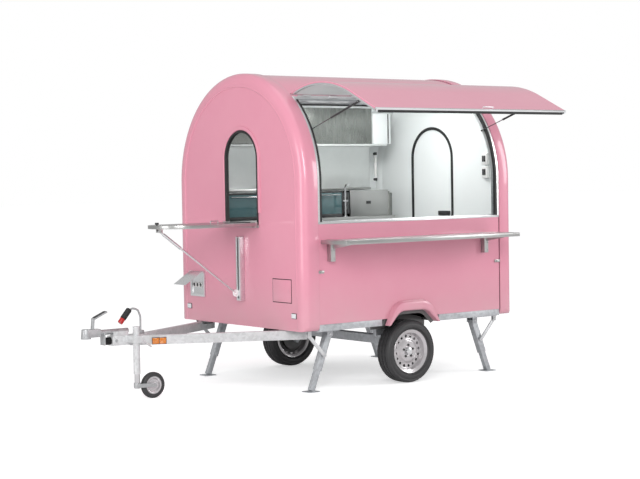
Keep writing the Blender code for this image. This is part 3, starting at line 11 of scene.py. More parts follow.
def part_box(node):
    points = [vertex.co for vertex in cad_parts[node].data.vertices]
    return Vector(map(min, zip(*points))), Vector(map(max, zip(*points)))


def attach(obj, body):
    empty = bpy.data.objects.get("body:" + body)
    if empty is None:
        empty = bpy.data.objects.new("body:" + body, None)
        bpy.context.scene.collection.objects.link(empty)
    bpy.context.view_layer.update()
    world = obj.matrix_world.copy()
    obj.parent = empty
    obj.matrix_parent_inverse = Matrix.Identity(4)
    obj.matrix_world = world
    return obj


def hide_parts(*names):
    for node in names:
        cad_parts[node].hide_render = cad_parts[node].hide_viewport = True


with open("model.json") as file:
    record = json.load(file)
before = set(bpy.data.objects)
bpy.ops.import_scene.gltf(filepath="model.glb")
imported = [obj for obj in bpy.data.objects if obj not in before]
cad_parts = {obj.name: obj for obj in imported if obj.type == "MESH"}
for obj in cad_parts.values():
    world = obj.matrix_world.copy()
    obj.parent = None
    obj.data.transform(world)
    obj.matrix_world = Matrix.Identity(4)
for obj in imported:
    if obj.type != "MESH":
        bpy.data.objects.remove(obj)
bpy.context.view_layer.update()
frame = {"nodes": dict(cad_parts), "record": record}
nodes = frame["nodes"]
body_of = {}
for body, names in frame["record"]["behaviour"]["bodies"].items():
    for name in names:
        body_of[name] = body
slot_of = {row["node"]: row["material_slot"] for row in frame["record"]["subparts"]}

# Where the trailer stands. Its own coordinates start at the middle of the front wall, on the ground,
# with +X towards the rear wall and the serving side towards -Y.
BODY_LENGTH = 2.52
SEAM = 0.1603
cap_low, cap_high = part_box("front_cap")
STAND = Vector((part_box("roof_shell")[0].x - SEAM, (cap_low.y + cap_high.y) / 2, 0))


def at(x, y, z):
    return STAND + Vector((x, y, z))


# Camera, from a low stand off the near front corner with a long lens.
LENS_PIXELS = 1579.9
FRAME_WIDTH = 640
CAMERA_PLACE = (-8.285, -11.966, 1.941)
CAMERA_YAW = math.radians(37.65)
CAMERA_PITCH = math.radians(-2.39)
CAMERA_ROLL = math.radians(-0.95)

level_reach = math.cos(CAMERA_PITCH)
ahead = Vector(
    (math.sin(CAMERA_YAW) * level_reach, math.cos(CAMERA_YAW) * level_reach, math.sin(CAMERA_PITCH))
)
level = ahead.cross(Vector((0, 0, 1))).normalized()
upright = level.cross(ahead)
rolled = level * math.cos(CAMERA_ROLL) + upright * math.sin(CAMERA_ROLL)
top_edge = upright * math.cos(CAMERA_ROLL) - level * math.sin(CAMERA_ROLL)
camera_data = bpy.data.cameras.new("camera")
camera_data.sensor_width = 36
camera_data.lens = LENS_PIXELS * camera_data.sensor_width / FRAME_WIDTH
camera_data.clip_end = 300
camera = bpy.data.objects.new("camera", camera_data)
turn = Matrix((rolled, top_edge, -ahead)).transposed().to_4x4()
camera.matrix_world = Matrix.Translation(at(*CAMERA_PLACE)) @ turn
bpy.context.scene.collection.objects.link(camera)
bpy.context.scene.camera = camera
bpy.context.scene.view_settings.view_transform = "Standard"

# Studio: a white floor that keeps a soft shadow, a white surround, and large soft lamps.
# The floor glows a little to the camera alone, so that it ends in the white of the surround.
FLOOR_GLOW = 0.48
FLOOR_COLOUR = (0.92, 0.92, 0.925, 1)
FLOOR_REACH = 90
SURROUND_LIGHT = 0.58


def new_material(name):
    material = bpy.data.materials.new(name)
    material.use_nodes = True
    return material, material.node_tree, material.node_tree.nodes["Principled BSDF"]


def settle(made, **values):
    """Sets a shader node's values: on the inputs that carry their names, the rest on the node."""
    for key, value in values.items():
        if key in made.inputs:
            made.inputs[key].default_value = value
        else:
            setattr(made, key, value)
    return made


def node(tree, kind, **values):
    return settle(tree.nodes.new(kind), **values)


def wire(tree, *links):
    """Links shader nodes; each link is (from node, its output, to node, its input)."""
    for source, output, target, entry in links:
        tree.links.new(source.outputs[output], target.inputs[entry])


floor_material, tree, shader = new_material("studio_floor")
settle(shader, **{"Base Color": FLOOR_COLOUR, "Emission Color": (1, 1, 1, 1), "Specular IOR Level": 0.05})
settle(shader, Roughness=0.9)
rays = node(tree, "ShaderNodeLightPath")
glow = node(tree, "ShaderNodeMath", operation="MULTIPLY")
glow.inputs[1].default_value = FLOOR_GLOW
wire(tree, (rays, "Is Camera Ray", glow, 0), (glow, 0, shader, "Emission Strength"))
floor_mesh = bpy.data.meshes.new("studio_floor")
corners = [(FLOOR_REACH * a, FLOOR_REACH * b, 0) for a, b in ((-1, -1), (1, -1), (1, 1), (-1, 1))]
floor_mesh.from_pydata(corners, [], [(0, 1, 2, 3)])
floor_mesh.materials.append(floor_material)
studio_floor = bpy.data.objects.new("studio_floor", floor_mesh)
studio_floor.location = (0, 0, -0.0005)
bpy.context.scene.collection.objects.link(studio_floor)

world = bpy.data.worlds.new("studio_world")
bpy.context.scene.world = world
world.use_nodes = True
tree = world.node_tree
background = settle(tree.nodes["Background"], Color=(1, 1, 1, 1))
rays = node(tree, "ShaderNodeLightPath")
seen = node(tree, "ShaderNodeMath", operation="MAXIMUM")
strength = node(tree, "ShaderNodeMapRange", **{"To Min": SURROUND_LIGHT, "To Max": 1.0})
wire(tree, (rays, "Is Camera Ray", seen, 0), (rays, "Is Transmission Ray", seen, 1))
wire(tree, (seen, 0, strength, "Value"), (strength, "Result", background, "Strength"))


def soft_lamp(name, place, aim, width, height, power):
    data = bpy.data.lights.new(name, "AREA")
    data.shape = "RECTANGLE"
    data.size = width
    data.size_y = height
    data.energy = power
    lamp = bpy.data.objects.new(name, data)
    lamp.location = at(*place)
    lamp.rotation_euler = (at(*aim) - lamp.location).to_track_quat("-Z", "Y").to_euler()
    bpy.context.scene.collection.objects.link(lamp)


soft_lamp("lamp_over", (0.8, -1.5, 7.5), (1.0, 0, 0), 7.0, 5.0, 82)
soft_lamp("lamp_near", (-5.5, -8.0, 4.5), (1.0, 0, 1.2), 3.0, 4.0, 465)
soft_lamp("lamp_front", (-7.5, -0.5, 2.5), (0, 0, 1.4), 2.5, 4.0, 122)
soft_lamp("lamp_far", (7.5, -6.0, 4.0), (1.2, 0, 1.3), 2.0, 4.5, 200)
soft_lamp("lamp_cabin", (1.75, -0.35, 2.70), (2.1, 0.15, 1.0), 1.2, 0.3, 25)

# End walls: one glass-fibre moulding each, flat inside a pressed ring, with the edge rolled into the
# arch. They are polished gelcoat over a slightly wavy laminate, laid up in a mould and bonded on.
HALF_WIDTH = 1.0
ARCH_CENTRE = 1.87
CAP_LOW = 0.555
CAP_CORNER = 0.05
EDGE_RADIUS = 0.10
EDGE_DEPTH = 0.06
RIM_PROUD = 0.006
RIM_FLAT = 0.008
WALL = 0.030
ARCH_STEPS = 72
WINDOW_MIDDLE = -0.06
WINDOW_HALF = 0.245
WINDOW_LOW = 1.507
WINDOW_HIGH = 2.33
GASKET = 0.02
SURROUND_PROUD = 0.010
DOOR_MIDDLE = 0.105
DOOR_HALF = 0.295
DOOR_LOW = 0.665
DOOR_HIGH = 2.375
PINK = (0.66, 0.245, 0.335)
PINK_FADED = (0.70, 0.295, 0.382)


def new_group(name, inputs, outputs):
    """An empty shader group: its inputs with their start values, its outputs, and its first nodes."""
    group = bpy.data.node_groups.new(name, "ShaderNodeTree")
    for word, value in inputs.items():
        kind = "NodeSocketVector" if isinstance(value, tuple) else "NodeSocketFloat"
        group.interface.new_socket(name=word, in_out="INPUT", socket_type=kind).default_value = value
    for word in outputs:
        kind = "NodeSocketVector" if word == "Normal" else "NodeSocketFloat"
        group.interface.new_socket(name=word, in_out="OUTPUT", socket_type=kind)
    kinds = ("NodeGroupInput", "NodeGroupOutput", "ShaderNodeTexCoord")
    return group, *[node(group, kind) for kind in kinds]


# Laminate: the slow waves and the dust in the hollows that any large moulding shows.
laminate, inlet, outlet, place = new_group("laminate", {"Waves": 0.2}, ("Dust", "Mottle", "Normal"))
wave = node(laminate, "ShaderNodeTexNoise", Scale=5.0, Detail=2.0, Roughness=0.45)
peel = node(laminate, "ShaderNodeTexNoise", Scale=260.0, Detail=2.0)
mottle = node(laminate, "ShaderNodeTexNoise", Scale=2.2, Detail=5.0, Roughness=0.6)
wave_bump = node(laminate, "ShaderNodeBump", Distance=0.010)
peel_bump = node(laminate, "ShaderNodeBump", Distance=0.0002, Strength=0.25)
height = node(laminate, "ShaderNodeSeparateXYZ")
near_ground = {"From Min": 0.50, "From Max": 1.05, "To Min": 0.55, "To Max": 0.0}
low_dust = node(laminate, "ShaderNodeMapRange", **near_ground)
dust = node(laminate, "ShaderNodeMath", operation="MULTIPLY")
wire(laminate, *[(place, "Object", texture, "Vector") for texture in (wave, peel, mottle, height)])
wire(laminate, (inlet, "Waves", wave_bump, "Strength"), (wave, "Fac", wave_bump, "Height"))
wire(laminate, (peel, "Fac", peel_bump, "Height"), (wave_bump, "Normal", peel_bump, "Normal"))
wire(laminate, (height, "Z", low_dust, "Value"), (low_dust, "Result", dust, 0), (mottle, "Fac", dust, 1))
wire(laminate, (dust, 0, outlet, "Dust"), (mottle, "Fac", outlet, "Mottle"))
wire(laminate, (peel_bump, "Normal", outlet, "Normal"))


def surface(name, group_name, mask, colours, settings, extra=None):
    """A material with a shader group in it, whose mask runs between two colours."""
    material, tree, shader = new_material(name)
    group = node(tree, "ShaderNodeGroup", node_tree=bpy.data.node_groups[group_name])
    settle(group, **(extra or {}))
    ramp = node(tree, "ShaderNodeMix", data_type="RGBA")
    settle(ramp, A=(*colours[0], 1), B=(*colours[1], 1))
    wire(tree, (group, mask, ramp, "Factor"), (ramp, "Result", shader, "Base Color"))
    wire(tree, (group, "Normal", shader, "Normal"))
    settle(shader, **settings)
    return material, tree, shader, group, ramp


def gelcoat(name, deep, faded, roughness, coat=0.8, dusty=(0.42, 0.36, 0.34), **more):
    settings = {"Roughness": roughness, "Coat Weight": coat, "Coat Roughness": 0.06, **more}
    material, tree, shader, group, ramp = surface(name, "laminate", "Mottle", (deep, faded), settings)
    dirt = node(tree, "ShaderNodeMix", data_type="RGBA")
    settle(dirt, B=(*dusty, 1))
    wire(tree, (group, "Dust", dirt, "Factor"), (ramp, "Result", dirt, "A"))
    wire(tree, (dirt, "Result", shader, "Base Color"))
    return material


pink_gelcoat = gelcoat("pink_gelcoat", PINK, PINK_FADED, 0.30, coat=0.6, **{"Specular IOR Level": 0.4})


def arc(u, v, radius, first, last, steps):
    """Points on a circle about (u, v), from first to last degrees, both ends included."""
    angles = [math.radians(first + (last - first) * step / steps) for step in range(steps + 1)]
    return [(u + radius * math.cos(angle), v + radius * math.sin(angle)) for angle in angles]


def straight(start, end, parts):
    """The points that divide a line into equal parts, without its two ends."""
    return [
        tuple(a + (b - a) * step / parts for a, b in zip(start, end)) for step in range(1, parts)
    ]


def arch(inset, low, corner=CAP_CORNER):
    """The end walls' outline in (y, z), from the near bottom corner over the top to the far one."""
    half = HALF_WIDTH - inset
    turn_in = max(corner - inset, 0.006)
    rise = arc(-half + turn_in, low + turn_in, turn_in, 270, 180, 6)
    rise += straight((-half, low + turn_in), (-half, ARCH_CENTRE), 6)
    return rise + arc(0, ARCH_CENTRE, half, 180, 0, ARCH_STEPS) + [(-y, z) for y, z in rise[::-1]]


def gothic(half, low, high, middle, steps=32):
    """An upright opening with a half-round top."""
    return [(middle - half, low), (middle + half, low), *arc(middle, high - half, half, 0, 180, steps)]


def filled(outlines, thickness):
    """A flat sheet mesh between outlines, lying in the XY plane, with its lower face at z = 0."""
    curve = bpy.data.curves.new("outline", "CURVE")
    curve.dimensions = "2D"
    curve.fill_mode = "BOTH"
    curve.extrude = thickness / 2
    for outline in outlines:
        spline = curve.splines.new("POLY")
        spline.points.add(len(outline) - 1)
        for point, (u, v) in zip(spline.points, outline):
            point.co = (u, v, 0, 1)
        spline.use_cyclic_u = True
    stand_in = bpy.data.objects.new("outline", curve)
    bpy.context.scene.collection.objects.link(stand_in)
    graph = bpy.context.evaluated_depsgraph_get()
    mesh = bpy.data.meshes.new_from_object(stand_in.evaluated_get(graph))
    bpy.data.objects.remove(stand_in, do_unlink=True)
    mesh.transform(Matrix.Translation((0, 0, thickness / 2)))
    return mesh


UPRIGHT_X = Matrix(((0, 0, 1, 0), (1, 0, 0, 0), (0, 1, 0, 0), (0, 0, 0, 1)))
UPRIGHT_Y = Matrix(((1, 0, 0, 0), (0, 0, 1, 0), (0, 1, 0, 0), (0, 0, 0, 1)))


def add_sheet(shape, outlines, x, thickness, y=0, turn=UPRIGHT_X):
    """Adds an upright sheet to a mesh being built: outlines in (y, z) from x, or in (x, z) from y."""
    mesh = filled(outlines, thickness)
    mesh.transform(Matrix.Translation(at(x, y, 0)) @ turn)
    shape.from_mesh(mesh)
    bpy.data.meshes.remove(mesh)


def piece(name, shape, material, body, slot=None, replaces=(), sharp=32, outward=True):
    """One finished piece of the trailer, which rides on a CAD body."""
    bmesh.ops.remove_doubles(shape, verts=shape.verts, dist=1e-6)
    if outward:
        bmesh.ops.recalc_face_normals(shape, faces=shape.faces)
    mesh = bpy.data.meshes.new(name)
    shape.to_mesh(mesh)
    shape.free()
    mesh.materials.append(material)
    mesh.shade_smooth()
    mesh.set_sharp_from_angle(angle=math.radians(sharp))
    made = bpy.data.objects.new(name, mesh)
    bpy.context.scene.collection.objects.link(made)
    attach(made, body)
    if replaces:
        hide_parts(*replaces)
    return made


def stand_for(name, shape, material, ending="finished", **options):
    """A piece that takes the place of the CAD solid whose name it begins with."""
    return piece(f"{name}_{ending}", shape, material, body_of[name], slot_of[name], [name], **options)


def lay_rings(shape, rings, ends=False):
    """Joins rows of points into one skin of quads; ends closes the two sides that it leaves open."""
    rows = [[shape.verts.new(point) for point in ring] for ring in rings]
    for near, far in zip(rows, rows[1:]):
        for a, b, c, d in zip(near, near[1:], far[1:], far):
            shape.faces.new((a, b, c, d))
    for end in (0, -1) if ends else ():
        shape.faces.new([shape.verts.new(ring[end]) for ring in rings])


window_hole = gothic(WINDOW_HALF + GASKET, WINDOW_LOW - GASKET, WINDOW_HIGH + GASKET, WINDOW_MIDDLE)
door_hole = gothic(DOOR_HALF, DOOR_LOW, DOOR_HIGH, DOOR_MIDDLE)
for at_rear, name in ((False, "front_cap"), (True, "rear_cap")):
    foot = EDGE_RADIUS + RIM_FLAT + RIM_PROUD * 1.5
    profile = [(0.006, foot + 0.012), (0, foot + 0.001), (-0.001, foot - 0.001)]
    profile += [
        (-RIM_PROUD + 0.001, EDGE_RADIUS + RIM_FLAT + 0.0015), (-RIM_PROUD, EDGE_RADIUS + RIM_FLAT)
    ]
    for step in range(13):
        angle = math.pi / 2 * step / 12
        depth = EDGE_DEPTH - (EDGE_DEPTH + RIM_PROUD) * math.cos(angle)
        profile.append((depth, EDGE_RADIUS * (1 - math.sin(angle))))
    profile += [(SEAM - 0.004, 0), (SEAM - 0.0006, 0.0015), (SEAM - 0.0004, WALL)]
    profile += [(EDGE_DEPTH, WALL), (WALL, EDGE_RADIUS), (WALL, foot + 0.012)]
    shape = bmesh.new()
    rings = []
    for x, inset in profile:
        place_x = BODY_LENGTH - x if at_rear else x
        rings.append([at(place_x, y, z) for y, z in arch(inset, CAP_LOW)])
    lay_rings(shape, rings, ends=True)
    opening = door_hole if at_rear else window_hole
    add_sheet(shape, [arch(foot, CAP_LOW), opening], BODY_LENGTH - WALL if at_rear else 0, WALL)
    stand_for(name, shape, pink_gelcoat, "moulding", outward=False)

# Roof: one curved moulding from end wall to end wall, from the serving sill over the top and down to
# the far side panel. Its near side is cut away for the hatch, down to a strip at each end.
PANEL_OUT = 0.990
SILL = 1.507
OPENING_END = 0.19
HINGE_Y = -0.66
HINGE_OUT = 0.012
ROOF_EDGE_RISE = 0.020
hinge_z = ARCH_CENTRE + math.sqrt((HALF_WIDTH + HINGE_OUT) ** 2 - HINGE_Y**2)
HINGE = Vector((0, HINGE_Y, hinge_z))
hinge_angle = math.atan2(-HINGE_Y, hinge_z - ARCH_CENTRE)
edge_angle = hinge_angle - ROOF_EDGE_RISE / HALF_WIDTH


def both_ends(x0, x1):
    """A span at the front end of the body, and the same span at the rear end."""
    return (x0, x1), (BODY_LENGTH - x1, BODY_LENGTH - x0)


def over_roof(radius, low, first, last, steps):
    """Points (y, z) from first to last degrees from the top, with upright ends where they reach 90."""
    points = [(-radius, low)] if first <= -90 else []
    points += arc(0, ARCH_CENTRE, radius, 90 - first, 90 - last, steps)
    return points + ([(radius, low)] if last >= 90 else [])


def add_band(shape, outer, inner, low, first, last, x0, x1, steps=64, soft=0.0015):
    """A curved slab between two radii, with its long edges slightly rounded."""
    ring = over_roof(outer, low, first, last, steps)
    back = over_roof(inner, low, first, last, steps)[::-1]
    section = ring + back
    rows = []
    for x in (x0, x0 + soft, x1 - soft, x1):
        rows.append([shape.verts.new(at(x, y, z)) for y, z in section])
    if soft:
        middle = (outer + inner) / 2
        for row in (rows[0], rows[-1]):
            for vert in row[: len(ring)]:
                spot = vert.co - at(0, 0, ARCH_CENTRE)
                flat = Vector((0, spot.y, max(spot.z, 0)))
                vert.co -= flat.normalized() * soft
    count = len(section)
    for near, far in zip(rows, rows[1:]):
        for i in range(count):
            j = (i + 1) % count
            shape.faces.new((near[i], near[j], far[j], far[i]))
    half = len(ring)
    for row in (rows[0], rows[-1]):
        for i in range(half - 1):
            shape.faces.new((row[i], row[i + 1], row[count - 2 - i], row[count - 1 - i]))


shape = bmesh.new()
inner = HALF_WIDTH - WALL
top_degrees = -math.degrees(edge_angle)
seams = (SEAM, BODY_LENGTH - SEAM)
add_band(shape, PANEL_OUT, inner, SILL + 0.0004, top_degrees, 90, *seams, steps=88, soft=0.002)
for x0, x1 in both_ends(SEAM, OPENING_END):
    add_band(shape, PANEL_OUT, inner, SILL + 0.0004, -90, top_degrees, x0, x1, steps=36, soft=0.002)
piece("roof_moulding", shape, pink_gelcoat, "trailer", "pink_gelcoat", ["roof_shell"])

# Side panels: flat mouldings below the sill, each with a rounded flare standing out round the wheel
# opening. The flare is part of the same moulding, and its lip turns in over the black wheel box.
WHEEL_X = 1.23
PANEL_LOW = 0.6103
ARCH_TOP = 0.672
ARCH_LOW_HALF = 0.285
ARCH_HIGH_HALF = 0.16
FLARE_BAND = 0.045
FLARE_FOOT_BAND = 0.030
FLARE_TOP = 0.766
FLARE_LOW = 0.552
FLARE_REACH = 0.045
FLARE_SHOULDER = 0.16


def wheel_arch(low, high, half_low, half_high, radius, steps=14):
    """The open line over the wheel, from its front foot to its rear foot, in (x, z)."""
    slope = math.atan2(high - low, half_low - half_high)
    reach = radius * math.tan(slope / 2)
    bend = arc(half_high - reach, high - radius, radius, 90 - math.degrees(slope), 90, steps)
    climb = [(half_low, low), *straight((half_low, low), bend[0], 5), *bend]
    return [(WHEEL_X - u, v) for u, v in climb] + [(WHEEL_X + u, v) for u, v in climb[::-1]]


for side, word in ((-1, "serving"), (1, "far")):
    shape = bmesh.new()
    opening = wheel_arch(PANEL_LOW, ARCH_TOP, 0.2525, ARCH_HIGH_HALF, 0.06)
    outline = [(seams[0], PANEL_LOW), *opening, (seams[1], PANEL_LOW), (seams[1], SILL), (seams[0], SILL)]
    add_sheet(shape, [outline], 0, PANEL_OUT - inner, inner if side > 0 else -PANEL_OUT, UPRIGHT_Y)
    flare_half, flare_high = ARCH_LOW_HALF + FLARE_FOOT_BAND, ARCH_HIGH_HALF + FLARE_BAND
    outer_line = wheel_arch(FLARE_LOW, FLARE_TOP, flare_half, flare_high, FLARE_SHOULDER)
    inner_line = wheel_arch(FLARE_LOW, ARCH_TOP, ARCH_LOW_HALF, ARCH_HIGH_HALF, FLARE_SHOULDER - 0.02)
    proud = HALF_WIDTH + FLARE_REACH
    section = [(0.0, PANEL_OUT - 0.002), (0.0, PANEL_OUT + 0.001), (0.04, PANEL_OUT + 0.012)]
    section += [(0.10, proud - 0.014), (0.17, proud - 0.004), (0.28, proud), (0.72, proud)]
    section += [(0.85, proud - 0.003), (0.95, proud - 0.010), (1.0, proud - 0.022), (1.0, inner)]
    rings = []
    for share, y in section:
        pairs = zip(outer_line, inner_line)
        rings.append([at(x + (u - x) * share, side * y, z + (v - z) * share) for (x, z), (u, v) in pairs])
    lay_rings(shape, rings, ends=True)
    name = f"{word}_side"
    piece(f"{name}_moulding", shape, pink_gelcoat, "trailer", "pink_gelcoat", [f"{name}_panel"])

# Cabin lining: white glass-fibre sheet glued to the walls, roof and end walls inside.
# It is semi-gloss and washable, with a faint texture, and stands a millimetre off the pink shell.
LINING = 0.0015
LINING_LOW = 0.645
WHITE = (0.80, 0.835, 0.83)
white_sheet = gelcoat(
    "white_lining", WHITE, (0.76, 0.79, 0.785), 0.38, coat=0.15, dusty=(0.70, 0.69, 0.67)
)


def rectangle(u0, v0, u1, v1):
    return [(u0, v0), (u1, v0), (u1, v1), (u0, v1)]


shape = bmesh.new()
radius = inner - 0.0002
lining_x = (WALL + 0.001, BODY_LENGTH - WALL - 0.001)
add_band(shape, radius, radius - LINING, SILL, top_degrees - 0.5, 90, *lining_x, steps=64, soft=0)
for x0, x1 in both_ends(lining_x[0], OPENING_END):
    add_band(shape, radius, radius - LINING, SILL, -90, top_degrees - 0.5, x0, x1, steps=24, soft=0)
low_wall = rectangle(lining_x[0], LINING_LOW, lining_x[1], SILL)
for y in (-radius, radius - LINING):
    add_sheet(shape, [low_wall], 0, LINING, y, UPRIGHT_Y)
inside = arch(WALL + 0.003, LINING_LOW, corner=0.001)
add_sheet(shape, [inside, window_hole], WALL + 0.0005, LINING)
add_sheet(shape, [inside, door_hole], BODY_LENGTH - WALL - 0.0005 - LINING, LINING)
piece("cabin_lining", shape, white_sheet, "trailer")

# Hatch: a pink outer moulding with an anodised sheet inside it, stiffened by an angle round the edge.
# It is drawn shut over the opening and then swung up about the hinge, where the gas struts hold it.
HATCH_OPEN = math.radians(64.4)
HATCH_END = 0.13
HATCH_LOW = 1.487
LINER_IN = 1.006
LINER_OUT = 1.018
SKIN_OUT = 1.032
EDGE_DROP = 0.010
LINER_SHORT_DEGREES = 2.2

# Metal grain: fine streaks along one axis, with slow stains across them.
grain_inputs = {"Stretch": (1.5, 60.0, 60.0), "Depth": 0.15}
grain, inlet, outlet, place = new_group("metal_grain", grain_inputs, ("Streaks", "Stains", "Normal"))
scaled = node(grain, "ShaderNodeVectorMath", operation="MULTIPLY")
streaks = node(grain, "ShaderNodeTexNoise", Scale=6.0, Detail=4.0, Roughness=0.6)
stains = node(grain, "ShaderNodeTexNoise", Scale=3.5, Detail=4.0, Roughness=0.65)
bump = node(grain, "ShaderNodeBump", Distance=0.0006)
wire(grain, (place, "Object", scaled, 0), (inlet, "Stretch", scaled, 1), (scaled, 0, streaks, "Vector"))
wire(grain, (place, "Object", stains, "Vector"), (inlet, "Depth", bump, "Strength"))
wire(grain, (streaks, "Fac", bump, "Height"), (streaks, "Fac", outlet, "Streaks"))
wire(grain, (stains, "Fac", outlet, "Stains"), (bump, "Normal", outlet, "Normal"))


def streaked(name, group_name, dark, light, roughness, metallic, extra=None):
    """Metal whose stains run between two colours, and whose streaks change how rough it is."""
    settings = {"Metallic": metallic}
    material, tree, shader, group, _ = surface(name, group_name, "Stains", (dark, light), settings, extra)
    span = node(tree, "ShaderNodeMapRange", **{"To Min": roughness[0], "To Max": roughness[1]})
    wire(tree, (group, "Streaks", span, "Value"), (span, "Result", shader, "Roughness"))
    return material


def grained(name, dark, light, roughness, stretch, depth=0.15, metallic=1.0):
    extra = {"Stretch": stretch, "Depth": depth}
    return streaked(name, "metal_grain", dark, light, roughness, metallic, extra)


anodised = grained(
    "anodised_sheet", (0.86, 0.87, 0.87), (0.93, 0.94, 0.94), (0.34, 0.50), (1.0, 26.0, 26.0),
    metallic=0.25
)
bright_trim = grained(
    "bright_trim", (0.72, 0.73, 0.74), (0.80, 0.81, 0.82), (0.22, 0.36), (2.0, 50.0, 50.0)
)

to_hinge = Matrix.Translation(at(*HINGE))
open_up = to_hinge @ Matrix.Rotation(-HATCH_OPEN, 4, "X") @ Matrix.Translation(-at(*HINGE))


def swing(shape):
    bmesh.ops.transform(shape, matrix=open_up, verts=shape.verts)
    return shape


def tube_between(shape, start, end, radius, steps=20, soft=0.0):
    """A round bar between two points, with its two ends slightly rounded over."""
    along = end - start
    turn = along.to_track_quat("Z", "Y").to_matrix().to_4x4()
    stand = Matrix.Translation((start + end) / 2) @ turn
    made = bmesh.ops.create_cone(
        shape, cap_ends=True, segments=steps, radius1=radius, radius2=radius, depth=along.length, matrix=stand
    )
    if soft:
        along.normalize()
        edges = dict.fromkeys(edge for vert in made["verts"] for edge in vert.link_edges)
        rims = [edge for edge in edges if abs((edge.verts[0].co - edge.verts[1].co).dot(along)) < 1e-6]
        bmesh.ops.bevel(shape, geom=rims, offset=soft, segments=3, profile=0.6, affect="EDGES")


def rod(shape, start, end, *rest):
    """A round bar between two points in trailer coordinates."""
    tube_between(shape, at(*start), at(*end), *rest)


def soft_block(shape, low, high, soft=0.002, turn=None):
    """A block with rounded edges; turn, when given, is laid over it about its own middle."""
    low, high = Vector(low), Vector(high)
    verts = bmesh.ops.create_cube(shape, size=1.0)["verts"]
    bmesh.ops.scale(shape, vec=high - low, verts=verts)
    if turn:
        bmesh.ops.transform(shape, matrix=turn, verts=verts)
    bmesh.ops.translate(shape, vec=at(*((low + high) / 2)), verts=verts)
    edges = dict.fromkeys(edge for vert in verts for edge in vert.link_edges)
    bmesh.ops.bevel(shape, geom=list(edges), offset=soft, segments=2, profile=0.5, affect="EDGES")


def block_about(shape, middle, half, soft, turn=None):
    soft_block(shape, middle - Vector(half), middle + Vector(half), soft, turn)


def block_piece(name, material, slot, *blocks, body="trailer"):
    """A piece made of soft blocks alone; each is its low corner, its high corner and its rounding."""
    shape = bmesh.new()
    for block in blocks:
        soft_block(shape, *block)
    return piece(name, shape, material, body, slot)


hatch_top = -math.degrees(hinge_angle + EDGE_DROP / HALF_WIDTH)
liner_top = hatch_top - LINER_SHORT_DEGREES
hatch_x = (HATCH_END, BODY_LENGTH - HATCH_END)
shape = bmesh.new()
add_band(
    shape, SKIN_OUT, LINER_OUT + 0.0003, HATCH_LOW + 0.003, -90, hatch_top, *hatch_x, steps=48, soft=0.003
)
piece("hatch_moulding", swing(shape), pink_gelcoat, "hatch", "pink_gelcoat", ["hatch_skin"])

shape = bmesh.new()
liner_x = (HATCH_END + 0.02, BODY_LENGTH - HATCH_END - 0.02)
add_band(shape, LINER_OUT, LINER_IN, HATCH_LOW + 0.004, -90, liner_top, *liner_x, steps=48, soft=0.001)
piece("hatch_sheet", swing(shape), anodised, "hatch", "aluminium", ["hatch_liner"])

shape = bmesh.new()
for x0, x1 in both_ends(hatch_x[0], liner_x[0]):
    edge_out, edge_in = LINER_OUT + 0.0002, LINER_IN - 0.003
    add_band(shape, edge_out, edge_in, HATCH_LOW, -90, liner_top, x0, x1, steps=48, soft=0.001)
low = (hatch_x[0], -SKIN_OUT - 0.0004, HATCH_LOW + 0.0006)
soft_block(shape, low, (hatch_x[1], -LINER_OUT, HATCH_LOW + 0.022), 0.001)
rim_span = (hatch_top - 0.5, hatch_top + 0.06)
add_band(shape, SKIN_OUT + 0.0012, LINER_OUT, 0, *rim_span, *hatch_x, steps=2, soft=0.001)
piece("hatch_edge_trim", swing(shape), bright_trim, "hatch", "aluminium")

# Lugs and knuckles of the hatch, seen from below and at the hinge: pressed steel lugs that carry the
# gas struts' pins, and three aluminium knuckles riveted to the skin's upper edge.
STRUT_X = 0.222
STRUT_PIN_IN = 0.945
STRUT_PIN_DROP = 0.80
KNUCKLE_LENGTH = 0.08
KNUCKLE_RADIUS = 0.018
KNUCKLE_SPREAD = 0.651
shape = bmesh.new()
strut_pin = Vector((0, -STRUT_PIN_IN, HINGE.z - STRUT_PIN_DROP))
for x, out in ((STRUT_X, 1), (BODY_LENGTH - STRUT_X, -1)):
    x0, x1 = sorted((x + out * 0.0125, x + out * 0.0185))
    soft_block(
        shape, (x0, -LINER_IN, strut_pin.z - 0.02), (x1, strut_pin.y + 0.012, strut_pin.z + 0.02), 0.0015
    )
    x0, x1 = sorted((x + out * 0.002, x + out * 0.04))
    soft_block(
        shape, (x0, -LINER_IN - 0.001, strut_pin.z - 0.03), (x1, -LINER_IN + 0.003, strut_pin.z + 0.03),
        0.001
    )
    rod(shape, (x - out * 0.007, *strut_pin[1:]), (x + out * 0.020, *strut_pin[1:]), 0.004, 16, 0.001)
piece("hatch_lugs", swing(shape), bright_trim, "hatch", "aluminium")
shape = bmesh.new()
for offset in (-KNUCKLE_SPREAD, 0, KNUCKLE_SPREAD):
    x = BODY_LENGTH / 2 + offset
    ends = at(x - KNUCKLE_LENGTH / 2, *HINGE[1:]), at(x + KNUCKLE_LENGTH / 2, *HINGE[1:])
    tube_between(shape, *ends, KNUCKLE_RADIUS, 28, 0.002)
piece("hatch_knuckles", swing(shape), bright_trim, "hatch", "aluminium")

# Frame of the serving opening: an anodised aluminium frame inside the shell, which the hatch seals on
# with a black rubber bead all the way round. It is riveted through the shell.
FRAME_OUT = 0.965
FRAME_IN = 0.935
FRAME_X = 0.16
MOUTH_X = 0.205
MOUTH_LOW = 1.522
FRAME_LOW = 1.477


def rubbery(name, colour, roughness, grey=0.35):
    """Moulded rubber: nearly black, with a greyer bloom in patches and a fine matt grain."""
    pale = tuple(channel + grey * 0.06 for channel in colour)
    settings = {"Roughness": roughness}
    return surface(name, "laminate", "Mottle", (colour, pale), settings, {"Waves": 0.05})[0]


